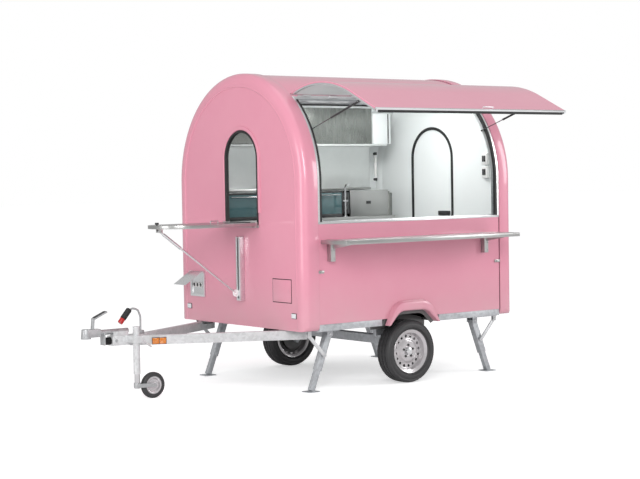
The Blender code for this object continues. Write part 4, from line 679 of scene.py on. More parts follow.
rubber = rubbery("black_rubber", (0.007, 0.007, 0.0075), 0.5, grey=0.12)
frame_top = -math.degrees(edge_angle) + 2.0
mouth_top = -math.degrees(hinge_angle + 0.03)
shape = bmesh.new()
for x0, x1 in both_ends(FRAME_X, MOUTH_X):
    add_band(shape, FRAME_OUT, FRAME_IN, FRAME_LOW, -90, frame_top, x0, x1, steps=40, soft=0.002)
mouth_x = (MOUTH_X, BODY_LENGTH - MOUTH_X)
add_band(shape, FRAME_OUT, FRAME_IN, 0, mouth_top, frame_top, *mouth_x, steps=4, soft=0.001)
low = (MOUTH_X - 0.001, -FRAME_OUT, FRAME_LOW)
soft_block(shape, low, (BODY_LENGTH - MOUTH_X + 0.001, -FRAME_IN, MOUTH_LOW), 0.002)
stand_for("serving_frame", shape, bright_trim)

shape = bmesh.new()
trim_out = PANEL_OUT + 0.003
for x0, x1 in both_ends(OPENING_END - 0.028, OPENING_END - 0.004):
    add_band(shape, trim_out, FRAME_OUT, SILL - 0.004, -90, top_degrees, x0, x1, steps=40, soft=0.002)
ends = (OPENING_END, BODY_LENGTH - OPENING_END)
rim_span = (top_degrees - 0.4, top_degrees - 0.02)
add_band(shape, PANEL_OUT + 0.0005, inner - 0.001, 0, *rim_span, *ends, steps=2, soft=0)
low = (OPENING_END - 0.024, -trim_out, SILL - 0.012)
soft_block(shape, low, (BODY_LENGTH - OPENING_END + 0.024, -FRAME_OUT, SILL + 0.009), 0.002)
piece("opening_trim", shape, bright_trim, "trailer", "aluminium")

shape = bmesh.new()
seal_out, seal_in = PANEL_OUT + 0.006, FRAME_IN - 0.004
for x0, x1 in both_ends(OPENING_END - 0.005, MOUTH_X + 0.003):
    add_band(shape, seal_out, FRAME_OUT, SILL + 0.009, -90, mouth_top, x0, x1, steps=40, soft=0.003)
lip_span = (mouth_top - 0.4, mouth_top + 0.1)
add_band(shape, FRAME_IN + 0.008, seal_in, 0, *lip_span, *mouth_x, steps=3, soft=0)
piece("serving_gasket", shape, rubber, "trailer", "black_rubber")

shape = bmesh.new()
low = (hatch_x[0], -LINER_OUT, HATCH_LOW + 0.0002)
soft_block(shape, low, (hatch_x[1], -HALF_WIDTH - 0.003, HATCH_LOW + 0.020), 0.004)
low = (SEAM + 0.004, -HALF_WIDTH - 0.005, HATCH_LOW + 0.0002)
soft_block(shape, low, (BODY_LENGTH - SEAM - 0.004, -LINER_IN + 0.013, HATCH_LOW + 0.020), 0.003)
piece("hatch_seal", swing(shape), rubber, "hatch", "black_rubber")

# Hinge along the roof's edge: an aluminium rod held on four feet, which are riveted through the roof
# moulding. The hatch's knuckles turn on it.
FOOT_LIFT = -0.0115
FOOT_REACH = 0.93
shape = bmesh.new()
rod_ends = at(OPENING_END + 0.02, *HINGE[1:]), at(BODY_LENGTH - OPENING_END - 0.02, *HINGE[1:])
tube_between(shape, *rod_ends, 0.006, 16, 0.001)
tangent = Vector((0, math.cos(hinge_angle), math.sin(hinge_angle)))
outward = Vector((0, -math.sin(hinge_angle), math.cos(hinge_angle)))
for share in (-1, -0.4, 0.4, 1):
    middle = Vector((BODY_LENGTH / 2 + share * FOOT_REACH, *HINGE[1:]))
    middle += tangent * 0.030 + outward * (FOOT_LIFT + 0.004)
    turn = Matrix.Rotation(hinge_angle, 4, "X")
    block_about(shape, middle, (0.04, 0.032, 0.008), 0.002, turn)
piece("hinge_finished", shape, bright_trim, "trailer", "aluminium", ["hatch_hinge"])

# Gas struts: black-painted steel tubes, each on a dark steel rod, with a round eye at both ends. The
# tube's eye turns on the hatch's lug, and the rod's eye on the frame of the opening.
STRUT_FOOT_RISE = 0.46
STRUT_FOOT_RADIUS = 0.950
TUBE_LENGTH = 0.40
ROD_START = 0.30
strut_top = open_up @ at(0, *strut_pin[1:]) - at(0, 0, 0)
foot_y = -math.sqrt(STRUT_FOOT_RADIUS**2 - STRUT_FOOT_RISE**2)
strut_foot = Vector((0, foot_y, ARCH_CENTRE + STRUT_FOOT_RISE))
painted = gelcoat(
    "black_paint", (0.014, 0.014, 0.015), (0.02, 0.02, 0.021), 0.28, coat=0.4, dusty=(0.08, 0.075, 0.07)
)
polished = grained(
    "polished_rod", (0.60, 0.60, 0.61), (0.68, 0.68, 0.69), (0.10, 0.18), (20.0, 20.0, 1.0), 0.02
)
rod_steel = grained(
    "rod_steel", (0.10, 0.10, 0.105), (0.20, 0.20, 0.205), (0.16, 0.28), (20.0, 20.0, 1.0), 0.02
)
for x, word in ((STRUT_X, "front"), (BODY_LENGTH - STRUT_X, "rear")):
    top = at(x, *strut_top[1:])
    foot = at(x, *strut_foot[1:])
    along = (foot - top).normalized()
    shape = bmesh.new()
    tube_between(shape, top + along * 0.006, top + along * TUBE_LENGTH, 0.010, 28, 0.002)
    tube_between(shape, top - Vector((0.0058, 0, 0)), top + Vector((0.0058, 0, 0)), 0.011, 24, 0.001)
    stand_for(f"gas_tube_{word}", shape, painted)
    shape = bmesh.new()
    tube_between(shape, top + along * ROD_START, foot, 0.004, 20)
    tube_between(shape, foot - Vector((0.005, 0, 0)), foot + Vector((0.005, 0, 0)), 0.009, 24, 0.001)
    stand_for(f"gas_rod_{word}", shape, rod_steel)

# Front window and wall beads: a pink raised surround and a pink bead round each end wall, moulded with
# the walls, and a black rubber gasket pushed over the edge of the opening.


def sweep(shape, path, section, normal, closed=False):
    """Lays a section of (sideways, along the normal) points along a path that lies in one plane."""
    rings = []
    count = len(path)
    for i, point in enumerate(path):
        before = path[i - 1] if closed or i else point
        after = path[(i + 1) % count] if closed or i < count - 1 else point
        side = (after - before).normalized().cross(normal)
        rings.append([shape.verts.new(point + side * a + normal * b) for a, b in section])
    pairs = list(zip(rings, rings[1:]))
    if closed:
        pairs.append((rings[-1], rings[0]))
    wide = len(section)
    for near, far in pairs:
        for i in range(wide):
            j = (i + 1) % wide
            shape.faces.new((near[i], near[j], far[j], far[i]))
    if not closed:
        shape.faces.new(rings[0])
        shape.faces.new(rings[-1][::-1])


def rounded_gothic(half, low, high, middle, corner=0.02, steps=40):
    """The window's line in (y, z), starting at its lower corner, with rounded lower corners."""
    spring = high - half
    points = arc(middle - half + corner, low + corner, corner, 180, 270, 5)
    points += arc(middle + half - corner, low + corner, corner, 270, 360, 5)
    points += straight((middle + half, low + corner), (middle + half, spring), 6)
    points += arc(middle, spring, half, 0, 180, steps)
    return points + straight((middle - half, spring), (middle - half, low + corner), 6)


shape = bmesh.new()
line = rounded_gothic(
    WINDOW_HALF + GASKET + 0.017, WINDOW_LOW - GASKET - 0.001, WINDOW_HIGH + GASKET + 0.017,
    WINDOW_MIDDLE, 0.01
)
path = [at(0, y, z) for y, z in line]
section = [(0.019, -0.001), (0.018, 0.003), (0.013, SURROUND_PROUD - 0.001), (0.009, SURROUND_PROUD)]
section += [(-0.012, SURROUND_PROUD), (-0.016, SURROUND_PROUD - 0.002), (-0.017, -0.001)]
sweep(shape, path[6:], section, Vector((-1, 0, 0)))
piece("window_surround", shape, pink_gelcoat, "trailer", "pink_gelcoat")

shape = bmesh.new()
BEAD_LOW = 0.75
bead = [
    (-0.013, -0.001), (-0.010, 0.005), (-0.004, 0.009), (0.004, 0.009), (0.010, 0.005), (0.013, -0.001)
]
for x, way in ((0, -1), (BODY_LENGTH, 1)):
    path = [at(x, y, z) for y, z in arch(0.116, 0.64, corner=0.001) if z >= BEAD_LOW]
    sweep(shape, path, bead, Vector((way, 0, 0)))
piece("end_wall_beads", shape, pink_gelcoat, "trailer", "pink_gelcoat")

shape = bmesh.new()
line = rounded_gothic(
    WINDOW_HALF + GASKET / 2, WINDOW_LOW - GASKET / 2, WINDOW_HIGH + GASKET / 2, WINDOW_MIDDLE
)
path = [at(0, y, z) for y, z in line]
section = [(0.010, -0.031), (0.010, -0.010), (0.0098, 0.0), (0.014, 0.004), (0.010, 0.0062)]
section += [(-0.002, 0.006), (-0.008, 0.004), (-0.010, -0.002), (-0.0085, -0.012), (-0.010, -0.022)]
section += [(-0.010, -0.034), (-0.002, -0.036)]
sweep(shape, path, section, Vector((-1, 0, 0)), closed=True)
stand_for("window_gasket", shape, rubber)

# Rear door: a pink moulding hung in the rear wall, white inside, with a black seal round its edge.
# Two strap hinges carry it, and a lock with a grab handle each side shuts it.
DOOR_EDGE = 0.006
DOOR_THICK = 0.028
LOCK_Y = DOOR_MIDDLE - DOOR_HALF + 0.07
DOOR_PIN = (BODY_LENGTH + 0.015, DOOR_MIDDLE + DOOR_HALF + 0.014)
brushed = grained(
    "brushed_stainless", (0.40, 0.40, 0.395), (0.51, 0.51, 0.50), (0.24, 0.40), (1.2, 45.0, 45.0), 0.1
)
black_plastic = rubbery("moulded_black", (0.016, 0.016, 0.017), 0.42)


def door_line(inset):
    return gothic(DOOR_HALF - inset, DOOR_LOW + inset, DOOR_HIGH - inset, DOOR_MIDDLE, 48)


shape = bmesh.new()
add_sheet(shape, [door_line(DOOR_EDGE)], BODY_LENGTH - DOOR_THICK + 0.004, DOOR_THICK - 0.004)
add_sheet(shape, [door_line(0.012), door_line(0.075)], BODY_LENGTH - 0.001, 0.003)
piece("door_moulding", shape, pink_gelcoat, "rear_door", "pink_gelcoat", ["rear_door"])
shape = bmesh.new()
add_sheet(shape, [door_line(DOOR_EDGE + 0.001)], BODY_LENGTH - DOOR_THICK, 0.005)
piece("door_lining", shape, white_sheet, "rear_door", "pink_gelcoat")
shape = bmesh.new()
outer_rim = gothic(DOOR_HALF + 0.020, DOOR_LOW - 0.018, DOOR_HIGH + 0.020, DOOR_MIDDLE, 48)
add_sheet(shape, [outer_rim, door_line(0.009)], BODY_LENGTH - WALL - 0.008, 0.0085)
piece("door_seal", shape, rubber, "trailer", "black_rubber")
shape = bmesh.new()
for z in (1.05, 1.95):
    rod(shape, (*DOOR_PIN, z - 0.045), (*DOOR_PIN, z + 0.0145), 0.009, 20, 0.001)
    low = (BODY_LENGTH + 0.001, DOOR_PIN[1] - 0.094, z - 0.044)
    soft_block(shape, low, (BODY_LENGTH + 0.012, DOOR_PIN[1], z + 0.014), 0.002)
soft_block(shape, (BODY_LENGTH, LOCK_Y - 0.03, 1.47), (BODY_LENGTH + 0.010, LOCK_Y + 0.03, 1.61), 0.003)
rod(shape, (BODY_LENGTH + 0.017, LOCK_Y, 1.485), (BODY_LENGTH + 0.017, LOCK_Y, 1.595), 0.005, 16, 0.002)
for z in (1.487, 1.593):
    rod(shape, (BODY_LENGTH + 0.008, LOCK_Y, z), (BODY_LENGTH + 0.018, LOCK_Y, z), 0.005, 16)
piece("door_hinges_and_lock", shape, brushed, "rear_door", "stainless_steel")
low = (BODY_LENGTH - 0.056, LOCK_Y - 0.040, 1.500)
high = (BODY_LENGTH - DOOR_THICK, LOCK_Y + 0.120, 1.545)
block_piece("door_latch_box", black_plastic, "black_plastic", (low, high, 0.006), body="rear_door")

# Pieces that keep the CAD solid's form: each is that solid with its sharp edges broken, as every
# folded, sawn or cast part has them.


def softened(name, material, width=0.0015, sharp=35):
    solid = nodes[name]
    shape = bmesh.new()
    shape.from_mesh(solid.data)
    bmesh.ops.transform(shape, matrix=solid.matrix_world, verts=shape.verts)
    bmesh.ops.remove_doubles(shape, verts=shape.verts, dist=1e-5)
    bmesh.ops.dissolve_limit(shape, angle_limit=0.01, verts=shape.verts, edges=shape.edges)
    corners = [
        edge for edge in shape.edges if edge.is_manifold and edge.calc_face_angle() > math.radians(sharp)
    ]
    bmesh.ops.bevel(
        shape, geom=corners, offset=width, segments=2, profile=0.5, affect="EDGES", clamp_overlap=True
    )
    return stand_for(name, shape, material)


def bolt_head(shape, centre, normal, radius=0.007, height=0.005):
    """A hexagon head with a washer under it; centre is on the face, in trailer coordinates."""
    foot = at(*centre)
    up = Vector(normal)
    tube_between(shape, foot - up * 0.001, foot + up * 0.0012, radius * 1.45, 18, 0.0004)
    tube_between(shape, foot, foot + up * (0.0012 + height), radius, 6, 0.0008)


# Serving shelf: a folded stainless tray on two angle brackets, screwed to the wall with hexagon
# screws. It is brushed along its length.
BRACKETS = (0.285, 2.14)
softened("counter", brushed, 0.003)
shape = bmesh.new()
for x in BRACKETS:
    for z in (1.262, 1.188):
        for side in (-1, 1):
            bolt_head(shape, (x + side * 0.015, -PANEL_OUT - 0.055, z), (0, -1, 0), 0.005, 0.004)
piece("counter_screws", shape, brushed, "trailer", "stainless_steel")

# Front flap: a stainless-faced board that folds up over the window. A stay with a roller at its foot
# runs in a C-shaped rail on the wall; a black knob locks it, and a small bail handle lifts it.
FLAP_HINGE = Vector((-0.030, WINDOW_MIDDLE, 1.505))
STAY_TOP = Vector((-0.890, WINDOW_MIDDLE, 1.453))
STAY_FOOT = Vector((-0.079, WINDOW_MIDDLE, 0.86))
softened("front_flap", brushed, 0.002)
softened("flap_hinge", brushed, 0.001)
softened("strut_rail", bright_trim, 0.001)
shape = bmesh.new()
bar = at(*STAY_TOP), at(*STAY_FOOT)
along = (bar[1] - bar[0]).normalized()
cross = Vector((0, 1, 0))
tube_between(shape, *bar, 0.009, 24, 0.001)
tube_between(shape, bar[0] + along * 0.05, bar[0] + along * 0.27, 0.014, 28, 0.003)
tube_between(shape, bar[0] - cross * 0.013, bar[0] + cross * 0.013, 0.012, 24, 0.001)
piece("flap_stay", shape, bright_trim, "flap_strut", "stainless_steel", ["flap_strut"])
shape = bmesh.new()
tube_between(shape, bar[1] - cross * 0.0078, bar[1] + cross * 0.0078, 0.034, 48, 0.003)
for side in (-1, 1):
    bolt_head(shape, (STAY_FOOT.x, STAY_FOOT.y + side * 0.0078, STAY_FOOT.z), (0, side, 0), 0.009, 0.005)
piece("flap_stay_roller", shape, anodised, "flap_strut", "stainless_steel")
shape = bmesh.new()
knob = Vector((-0.9325, WINDOW_MIDDLE - 0.03, FLAP_HINGE.z))
tube_between(shape, at(*knob), at(*(knob + Vector((0, 0, 0.014)))), 0.006, 16)
tube_between(
    shape, at(*(knob + Vector((0, 0, 0.010)))), at(*(knob + Vector((0, 0, 0.0275)))), 0.018, 28, 0.005
)
piece("flap_knob", shape, black_plastic, "front_flap", "stainless_steel")
HANDLE_X = (-0.50, -0.42)
HANDLE_Y = -0.29
bail_z = FLAP_HINGE.z + 0.030
shape = bmesh.new()
for x in HANDLE_X:
    rod(shape, (x, HANDLE_Y, FLAP_HINGE.z), (x, HANDLE_Y, FLAP_HINGE.z + 0.032), 0.004, 12)
rod(shape, (-0.502, HANDLE_Y, bail_z), (-0.418, HANDLE_Y, bail_z), 0.0045, 14, 0.002)
piece("flap_handle", shape, brushed, "front_flap", "stainless_steel")

# Mains inlet: a flush stainless box riveted in the front wall, with a hinged lid propped open and
# three white plastic sockets inside.
INLET_Y = (0.56, 0.80)
SOCKET_Z = 0.90
softened("inlet_box", bright_trim, 0.0012)
softened("inlet_lid", bright_trim, 0.0005)
white_plastic = gelcoat("white_plastic", (0.80, 0.80, 0.79), (0.74, 0.74, 0.73), 0.35, coat=0.2)
shape = bmesh.new()
socket_shade_discs = bmesh.new()
for share in (0.27, 0.5, 0.73):
    y = INLET_Y[0] + (INLET_Y[1] - INLET_Y[0]) * share
    rod(shape, (-0.0065, y, SOCKET_Z), (-0.016, y, SOCKET_Z), 0.024, 32, 0.002)
    # Painted shade: a flat black disc on each socket's face stands for the shadow inside its recess.
    rod(socket_shade_discs, (-0.0155, y, SOCKET_Z), (-0.0163, y, SOCKET_Z), 0.017, 32)
piece("inlet_sockets", shape, white_plastic, "trailer")
piece("inlet_socket_shade_discs", socket_shade_discs, black_plastic, "trailer")

# Chassis, steadies, braces and axle: hot-dip galvanised steel. The zinc shows its spangle, dulled to
# grey.
spangle, inlet, outlet, place = new_group("zinc_spangle", {}, ("Streaks", "Stains", "Normal"))
flakes = node(spangle, "ShaderNodeTexVoronoi", Scale=42.0)
clouds = node(spangle, "ShaderNodeTexNoise", Scale=4.0, Detail=5.0, Roughness=0.65)
flake_value = node(spangle, "ShaderNodeSeparateColor")
mixed = node(spangle, "ShaderNodeMix", Factor=0.62)
bump = node(spangle, "ShaderNodeBump", Distance=0.0004, Strength=0.3)
wire(spangle, (place, "Object", flakes, "Vector"), (place, "Object", clouds, "Vector"))
wire(
    spangle, (flakes, "Color", flake_value, 0), (flake_value, 0, mixed, "A"), (clouds, "Fac", mixed, "B")
)
wire(spangle, (clouds, "Fac", bump, "Height"), (flake_value, 0, outlet, "Streaks"))
wire(spangle, (mixed, "Result", outlet, "Stains"), (bump, "Normal", outlet, "Normal"))


def zinced(name, dark, light):
    return streaked(name, "zinc_spangle", dark, light, (0.36, 0.54), 0.6)


galvanised = zinced("galvanised", (0.50, 0.505, 0.51), (0.80, 0.81, 0.82))
dull_zinc = zinced("dull_zinc", (0.33, 0.345, 0.36), (0.64, 0.66, 0.685))
softened("chassis_frame", dull_zinc, 0.004)
softened("axle_beam", dull_zinc, 0.005)
KNEE = (0.303, 0.3184)
BRACE_TOP = (0.133, 0.505)
BRACE_Y = 0.876
reach = Vector((KNEE[0] - BRACE_TOP[0], 0, KNEE[1] - BRACE_TOP[1]))
for end, flip in (("front", 1), ("rear", -1)):
    for side, out in (("near", -1), ("far", 1)):
        softened(f"steady_{end}_{side}", dull_zinc, 0.004)
        shape = bmesh.new()
        middle_x = (KNEE[0] + BRACE_TOP[0]) / 2
        middle_x = middle_x if flip > 0 else BODY_LENGTH - middle_x
        centre = Vector((middle_x, out * BRACE_Y, (KNEE[1] + BRACE_TOP[1]) / 2))
        turn = Matrix.Rotation(flip * math.atan2(-reach.z, reach.x), 4, "Y")
        block_about(shape, centre, (reach.length / 2 + 0.014, 0.003, 0.0165), 0.001, turn)
        for lip in (-1, 1):
            edge = centre + turn.to_3x3() @ Vector((0, 0, lip * 0.0145)) - Vector((0, out * 0.003, 0))
            block_about(shape, edge, (reach.length / 2 + 0.004, 0.005, 0.002), 0.0008, turn)
        stand_for(f"brace_{end}_{side}", shape, galvanised)
PIVOT_X = 0.375
PIVOT_Z = 0.505
shape = bmesh.new()
for x in (PIVOT_X, BODY_LENGTH - PIVOT_X):
    for side in (-1, 1):
        for y, way in ((0.865, side), (0.785, -side)):
            bolt_head(shape, (x, side * y, PIVOT_Z), (0, way, 0), 0.010, 0.007)
piece("steady_pivot_bolts", shape, galvanised, "trailer", "galvanised_steel")

# Brackets of the braces: two galvanised cheeks under the frame at each corner, welded to it, with the
# brace's top pin bolted through them.
BRACKET_Z = (0.488, 0.600)
shape = bmesh.new()
for middle_x in (BRACE_TOP[0], BODY_LENGTH - BRACE_TOP[0]):
    x0, x1 = middle_x - 0.020, middle_x + 0.020
    for out in (-1, 1):
        for near in (0.861, 0.882):
            y0, y1 = sorted((out * near, out * (near + 0.004)))
            soft_block(shape, (x0, y0, BRACKET_Z[0]), (x1, y1, BRACKET_Z[1]), 0.001)
        bolt_head(shape, (middle_x, out * 0.886, BRACE_TOP[1]), (0, out, 0), 0.009, 0.006)
piece("brace_brackets", shape, galvanised, "trailer", "galvanised_steel")

# Wheel boxes: black moulded plastic over each wheel, textured, with a flange that lies behind the side
# panel's lip and a skirt that hangs inside the wheel.
liner = gelcoat(
    "wheel_box_plastic", (0.085, 0.085, 0.088), (0.120, 0.120, 0.124), 0.42, coat=0.1,
    dusty=(0.16, 0.15, 0.14)
)
for side, word in ((-1, "near"), (1, "far")):
    softened(f"wheel_box_{word}", liner, 0.004)
    shape = bmesh.new()
    rings = []
    for share, y in (
        (0.999, inner + 0.008), (0.985, inner + 0.003), (0.88, inner + 0.003), (0.88, inner + 0.0005)
    ):
        rings.append(
            [at(WHEEL_X + (x - WHEEL_X) * share, side * y, 0.4 + (z - 0.4) * share) for x, z in inner_line]
        )
    lay_rings(shape, rings)
    piece(f"wheel_box_flange_{word}", shape, liner, "trailer", "black_plastic")
    y0, y1 = sorted((side * 0.790, side * 0.795))
    skirt = ((0.900, y0, 0.500), (1.560, y1, 0.655), 0.001)
    block_piece(f"wheel_box_skirt_{word}", liner, "black_plastic", skirt)

# Road wheels: steel rims painted silver, with vent holes round the disc, five bolts and a bright cap.
# The tyres are radial, with four ribs cut by sipes, rounded shoulders and a raised bead on the wall.
WHEEL_CENTRE_Y = 0.905
TYRE_RADIUS = 0.29
RIM_HALF = 0.070
VENTS = 16
VENT_CIRCLE = 0.1385
VENT_RADIUS = 0.0135
BOLTS = 5
BOLT_CIRCLE = 0.056
silver = ((0.62, 0.60, 0.63), (0.70, 0.68, 0.70))
wheel_paint = gelcoat(
    "wheel_silver_paint", *silver, 0.26, coat=0.5, dusty=(0.22, 0.20, 0.18), Metallic=0.55
)
tyre_rubber = rubbery("tyre_rubber", (0.024, 0.0235, 0.025), 0.52, grey=0.3)


def lathe(shape, profile, centre, axis, steps=96, notch=None):
    """A profile of (radius, along) points turned round an axis; notch may change a point's radius."""
    turn = Vector(axis).to_track_quat("Z", "Y").to_matrix().to_4x4()
    stand = Matrix.Translation(at(*centre)) @ turn
    rows = []
    for step in range(steps):
        angle = 2 * math.pi * step / steps
        row = []
        for number, (radius, along) in enumerate(profile):
            if notch:
                radius = notch(step, number, radius)
            point = Vector((radius * math.cos(angle), radius * math.sin(angle), along))
            row.append(shape.verts.new(stand @ point))
        rows.append(row)
    for a, b in zip(rows, rows[1:] + rows[:1]):
        for i in range(len(profile) - 1):
            shape.faces.new((a[i], a[i + 1], b[i + 1], b[i]))


def tyre_profile():
    lift, half = 0.1781, 0.090
    bead = ((0, -0.0125), (0.012, -0.009), (0.026, -0.0045), (0.032, 0.001), (0.036, 0.003), (0.040, 0.007))
    side = [(lift + rise, RIM_HALF + out) for rise, out in bead]
    for share in (0.2, 0.4, 0.6, 0.8, 1.0):
        angle = math.pi * (share - 0.5) * 0.9
        side.append((lift + 0.060 + 0.022 * math.sin(angle), half - 0.008 + 0.008 * math.cos(angle)))
    side += [(0.2700, 0.0860), (0.2745, 0.0815), (0.2800, 0.0760), (0.2860, 0.0660), (0.2885, 0.0560)]
    ribs = [(0.2895, 0.046), (0.2825, 0.0445), (0.2825, 0.0385), (0.2900, 0.037), (0.2900, 0.0065)]
    ribs += [(0.2830, 0.0055), (0.2830, -0.0055)]
    line = side + ribs
    return line + [(radius, -along) for radius, along in line[-3::-1]]


def sipe(step, number, radius):
    return radius - 0.0045 if radius > 0.279 and (step + number) % 5 == 0 else radius


for side, word in ((-1, "near"), (1, "far")):
    centre = (WHEEL_X, side * WHEEL_CENTRE_Y, TYRE_RADIUS)
    axis = (0, side, 0)
    shape = bmesh.new()
    lathe(shape, tyre_profile(), centre, axis, 180, sipe)
    stand_for(f"tyre_{word}", shape, tyre_rubber, sharp=28, outward=False)
    shape = bmesh.new()
    disc = [(0.034, 0.034), (0.040, 0.0365), (0.090, 0.0365), (0.098, 0.034), (0.108, 0.024)]
    disc += [(0.118, 0.0205), (0.124, 0.0205), (0.124, 0.016)]
    lathe(shape, disc, centre, axis)
    dish = [(0.153, 0.014), (0.153, 0.0185), (0.158, 0.020), (0.1625, 0.026), (0.166, 0.048)]
    dish += [(0.171, 0.062), (0.180, 0.066), (0.188, 0.0685), (0.1965, 0.0705), (0.2005, 0.0725)]
    dish += [(0.2023, 0.0710), (0.2023, 0.0660), (0.1960, 0.0635), (0.1776, 0.0600), (0.1774, 0.030)]
    dish += [(0.170, 0.0), (0.1774, -0.030), (0.1776, -0.060), (0.1960, -0.0635), (0.2023, -0.0680)]
    dish += [(0.2005, -0.0725), (0.188, -0.0700), (0.172, -0.0630), (0.166, -0.010), (0.160, 0.004)]
    dish.append((0.153, 0.0135))
    lathe(shape, dish, centre, axis)
    flat = [arc(0, 0, radius, 0, 360, 96)[:-1] for radius in (0.1535, 0.1235)]
    for number in range(VENTS):
        middle = 2 * math.pi * (number + 0.25) / VENTS
        centre_uv = VENT_CIRCLE * math.cos(middle), VENT_CIRCLE * math.sin(middle)
        flat.append(arc(*centre_uv, VENT_RADIUS, 0, 360, 20)[:-1])
    mesh = filled(flat, 0.004)
    turn = Vector(axis).to_track_quat("Z", "Y").to_matrix().to_4x4()
    mesh.transform(Matrix.Translation(at(*centre)) @ turn @ Matrix.Translation((0, 0, 0.0155)))
    shape.from_mesh(mesh)
    stand_for(f"wheel_rim_{word}", shape, wheel_paint, outward=False)
    shape = bmesh.new()
    lathe(shape, [(0.0001, 0.0595), (0.026, 0.0595), (0.0325, 0.056), (0.0335, 0.036)], centre, axis, 48)
    piece(f"wheel_cap_{word}", shape, bright_trim, f"wheel_{word}", "silver_wheel", outward=False)
    shape = bmesh.new()
    # Painted shade: the black drum carries a ring behind the vent holes, a real dark backplate that is also
    # made black so that the holes read as dark as the shadow inside the wheel.
    drum_and_shade_ring = [(0.031, -0.066), (0.1215, -0.066), (0.1215, -0.030), (0.152, -0.026), (0.152, -0.020)]
    drum_and_shade_ring += [(0.120, -0.018), (0.120, 0.008), (0.108, 0.014), (0.031, 0.014)]
    lathe(shape, drum_and_shade_ring, centre, axis, 64)
    for number in range(BOLTS):
        angle = 2 * math.pi * (number + 0.25) / BOLTS
        u, v = BOLT_CIRCLE * math.cos(angle), BOLT_CIRCLE * math.sin(angle)
        spot = (WHEEL_X + u, side * (WHEEL_CENTRE_Y + 0.036), TYRE_RADIUS + v)
        bolt_head(shape, spot, (0, side, 0), 0.0085, 0.011)
    piece(f"wheel_hub_{word}", shape, painted, f"wheel_{word}", "silver_wheel", outward=False)

# Drawbar: two galvanised beams that meet at the overrun coupling's housing, which is cast and bolted
# through them. A ribbed rubber bellows keeps the dirt off its shaft.
HOUSING = (-1.377, -1.02)
softened("drawbar", galvanised, 0.004)
cast = zinced("cast_coupling", (0.30, 0.305, 0.31), (0.52, 0.53, 0.54))
softened("coupling_head", cast, 0.005)
shape = bmesh.new()
for x in (-1.34, -1.06):
    for side in (-1, 1):
        bolt_head(shape, (x, side * 0.050, 0.518), (0, side, 0), 0.010, 0.007)
piece("housing_bolts", shape, cast, "trailer", "galvanised_steel")
shape = bmesh.new()
boot = []
for step in range(49):
    share = step / 48
    boot.append((0.0295 + 0.0042 * math.cos(share * 12 * math.pi), 0.0004 + 0.0620 * share))
boot = [(0.012, boot[0][1])] + boot + [(0.012, boot[-1][1])]
lathe(shape, boot, (HOUSING[0], 0, 0.5175), (-1, 0, 0), 40)
stand_for("bellows", shape, rubber)

# Coupling handle: a black moulded grip, pushed over the release lever of the coupling's head and
# held by its own tightness.
shape = bmesh.new()
start, end = Vector((-1.545, 0, 0.722)), Vector((-1.414, 0, 0.778))
tilt = Matrix.Rotation(-math.atan2(end.z - start.z, end.x - start.x), 4, "Y")
middle = (start + end) / 2
block_about(shape, middle, (0.062, 0.022, 0.0075), 0.005, tilt)
piece("coupling_grip", shape, black_plastic, "trailer", "galvanised_steel")

# Handbrake: a zinc-plated bar bent up from its foot on the housing, with a thick ribbed rubber grip
# pushed over its end and a red plastic button in the grip.
BRAKE_FOOT = Vector((HOUSING[1] - 0.05, 0, 0.5603))
red_plastic = gelcoat(
    "red_plastic", (0.50, 0.006, 0.006), (0.42, 0.008, 0.008), 0.3, coat=0.15, dusty=(0.20, 0.03, 0.03)
)


def bent_bar(shape, points, radius, steps=16):
    """A bar through several points, with a round knee at each bend."""
    for start, end in zip(points, points[1:]):
        tube_between(shape, start, end, radius, steps)
    for point in points[1:-1]:
        bmesh.ops.create_uvsphere(
            shape, u_segments=steps, v_segments=8, radius=radius, matrix=Matrix.Translation(point)
        )


shape = bmesh.new()
low, high = BRAKE_FOOT - Vector((0.03, 0.02, 0)), BRAKE_FOOT + Vector((0.03, 0.02, 0.03))
soft_block(shape, low, high, 0.004)
route = [
    (0, 0.02), (0.003, 0.10), (0.002, 0.15), (-0.02, 0.205), (-0.045, 0.219), (-0.075, 0.225),
    (-0.115, 0.212)
]
bent_bar(shape, [at(*(BRAKE_FOOT + Vector((x, 0, z)))) for x, z in route], 0.009)
piece("handbrake_bar", shape, cast, "trailer", "black_plastic", ["handbrake_lever"])
shape = bmesh.new()
grip_top = BRAKE_FOOT + Vector((-0.107, 0, 0.220))
grip_end = BRAKE_FOOT + Vector((-0.205, 0, 0.106))
down = (grip_end - grip_top).normalized()
profile = [(0.010, -0.004), (0.022, 0.0), (0.027, 0.010)]
for step in range(6):
    profile += [
        (0.0275, 0.016 + step * 0.014), (0.0250, 0.020 + step * 0.014), (0.0275, 0.024 + step * 0.014)
    ]
profile += [(0.0275, 0.102), (0.021, 0.106), (0.0001, 0.106)]
lathe(shape, profile, grip_top, down, 32)
piece("handbrake_grip", shape, rubber, "trailer", "black_plastic")
shape = bmesh.new()
tube_between(shape, at(*(grip_top + down * 0.104)), at(*(grip_top + down * 0.152)), 0.024, 32, 0.006)
piece("handbrake_button", shape, red_plastic, "trailer", "black_plastic")

# Jockey wheel: a zinc-plated outer tube in its clamp, a bright stem, a pressed fork and a solid tyre
# on a dished steel centre.
JOCKEY = Vector((-1.20, -0.145, 0))
JOCKEY_HUB = Vector((-1.043, -0.145, 0.115))
softened("jockey_fork", cast, 0.002)
shape = bmesh.new()
tube = [(0.0252, 0.0), (0.0298, 0.0), (0.030, 0.002), (0.030, 0.400), (0.0305, 0.401)]
tube += [(0.0305, 0.4135), (0.028, 0.415), (0.0001, 0.415)]
lathe(shape, tube, (JOCKEY.x, JOCKEY.y, 0.225), (0, 0, 1), 48)
stand_for("jockey_tube", shape, galvanised)
shape = bmesh.new()
rod(shape, (JOCKEY.x, JOCKEY.y, 0.150), (JOCKEY.x, JOCKEY.y, 0.549), 0.024, 40, 0.001)
stand_for("jockey_stem", shape, polished)
shape = bmesh.new()
rim = [(0.0066, -0.0265), (0.0066, 0.0265), (0.019, 0.0265), (0.0215, 0.024), (0.0225, 0.012)]
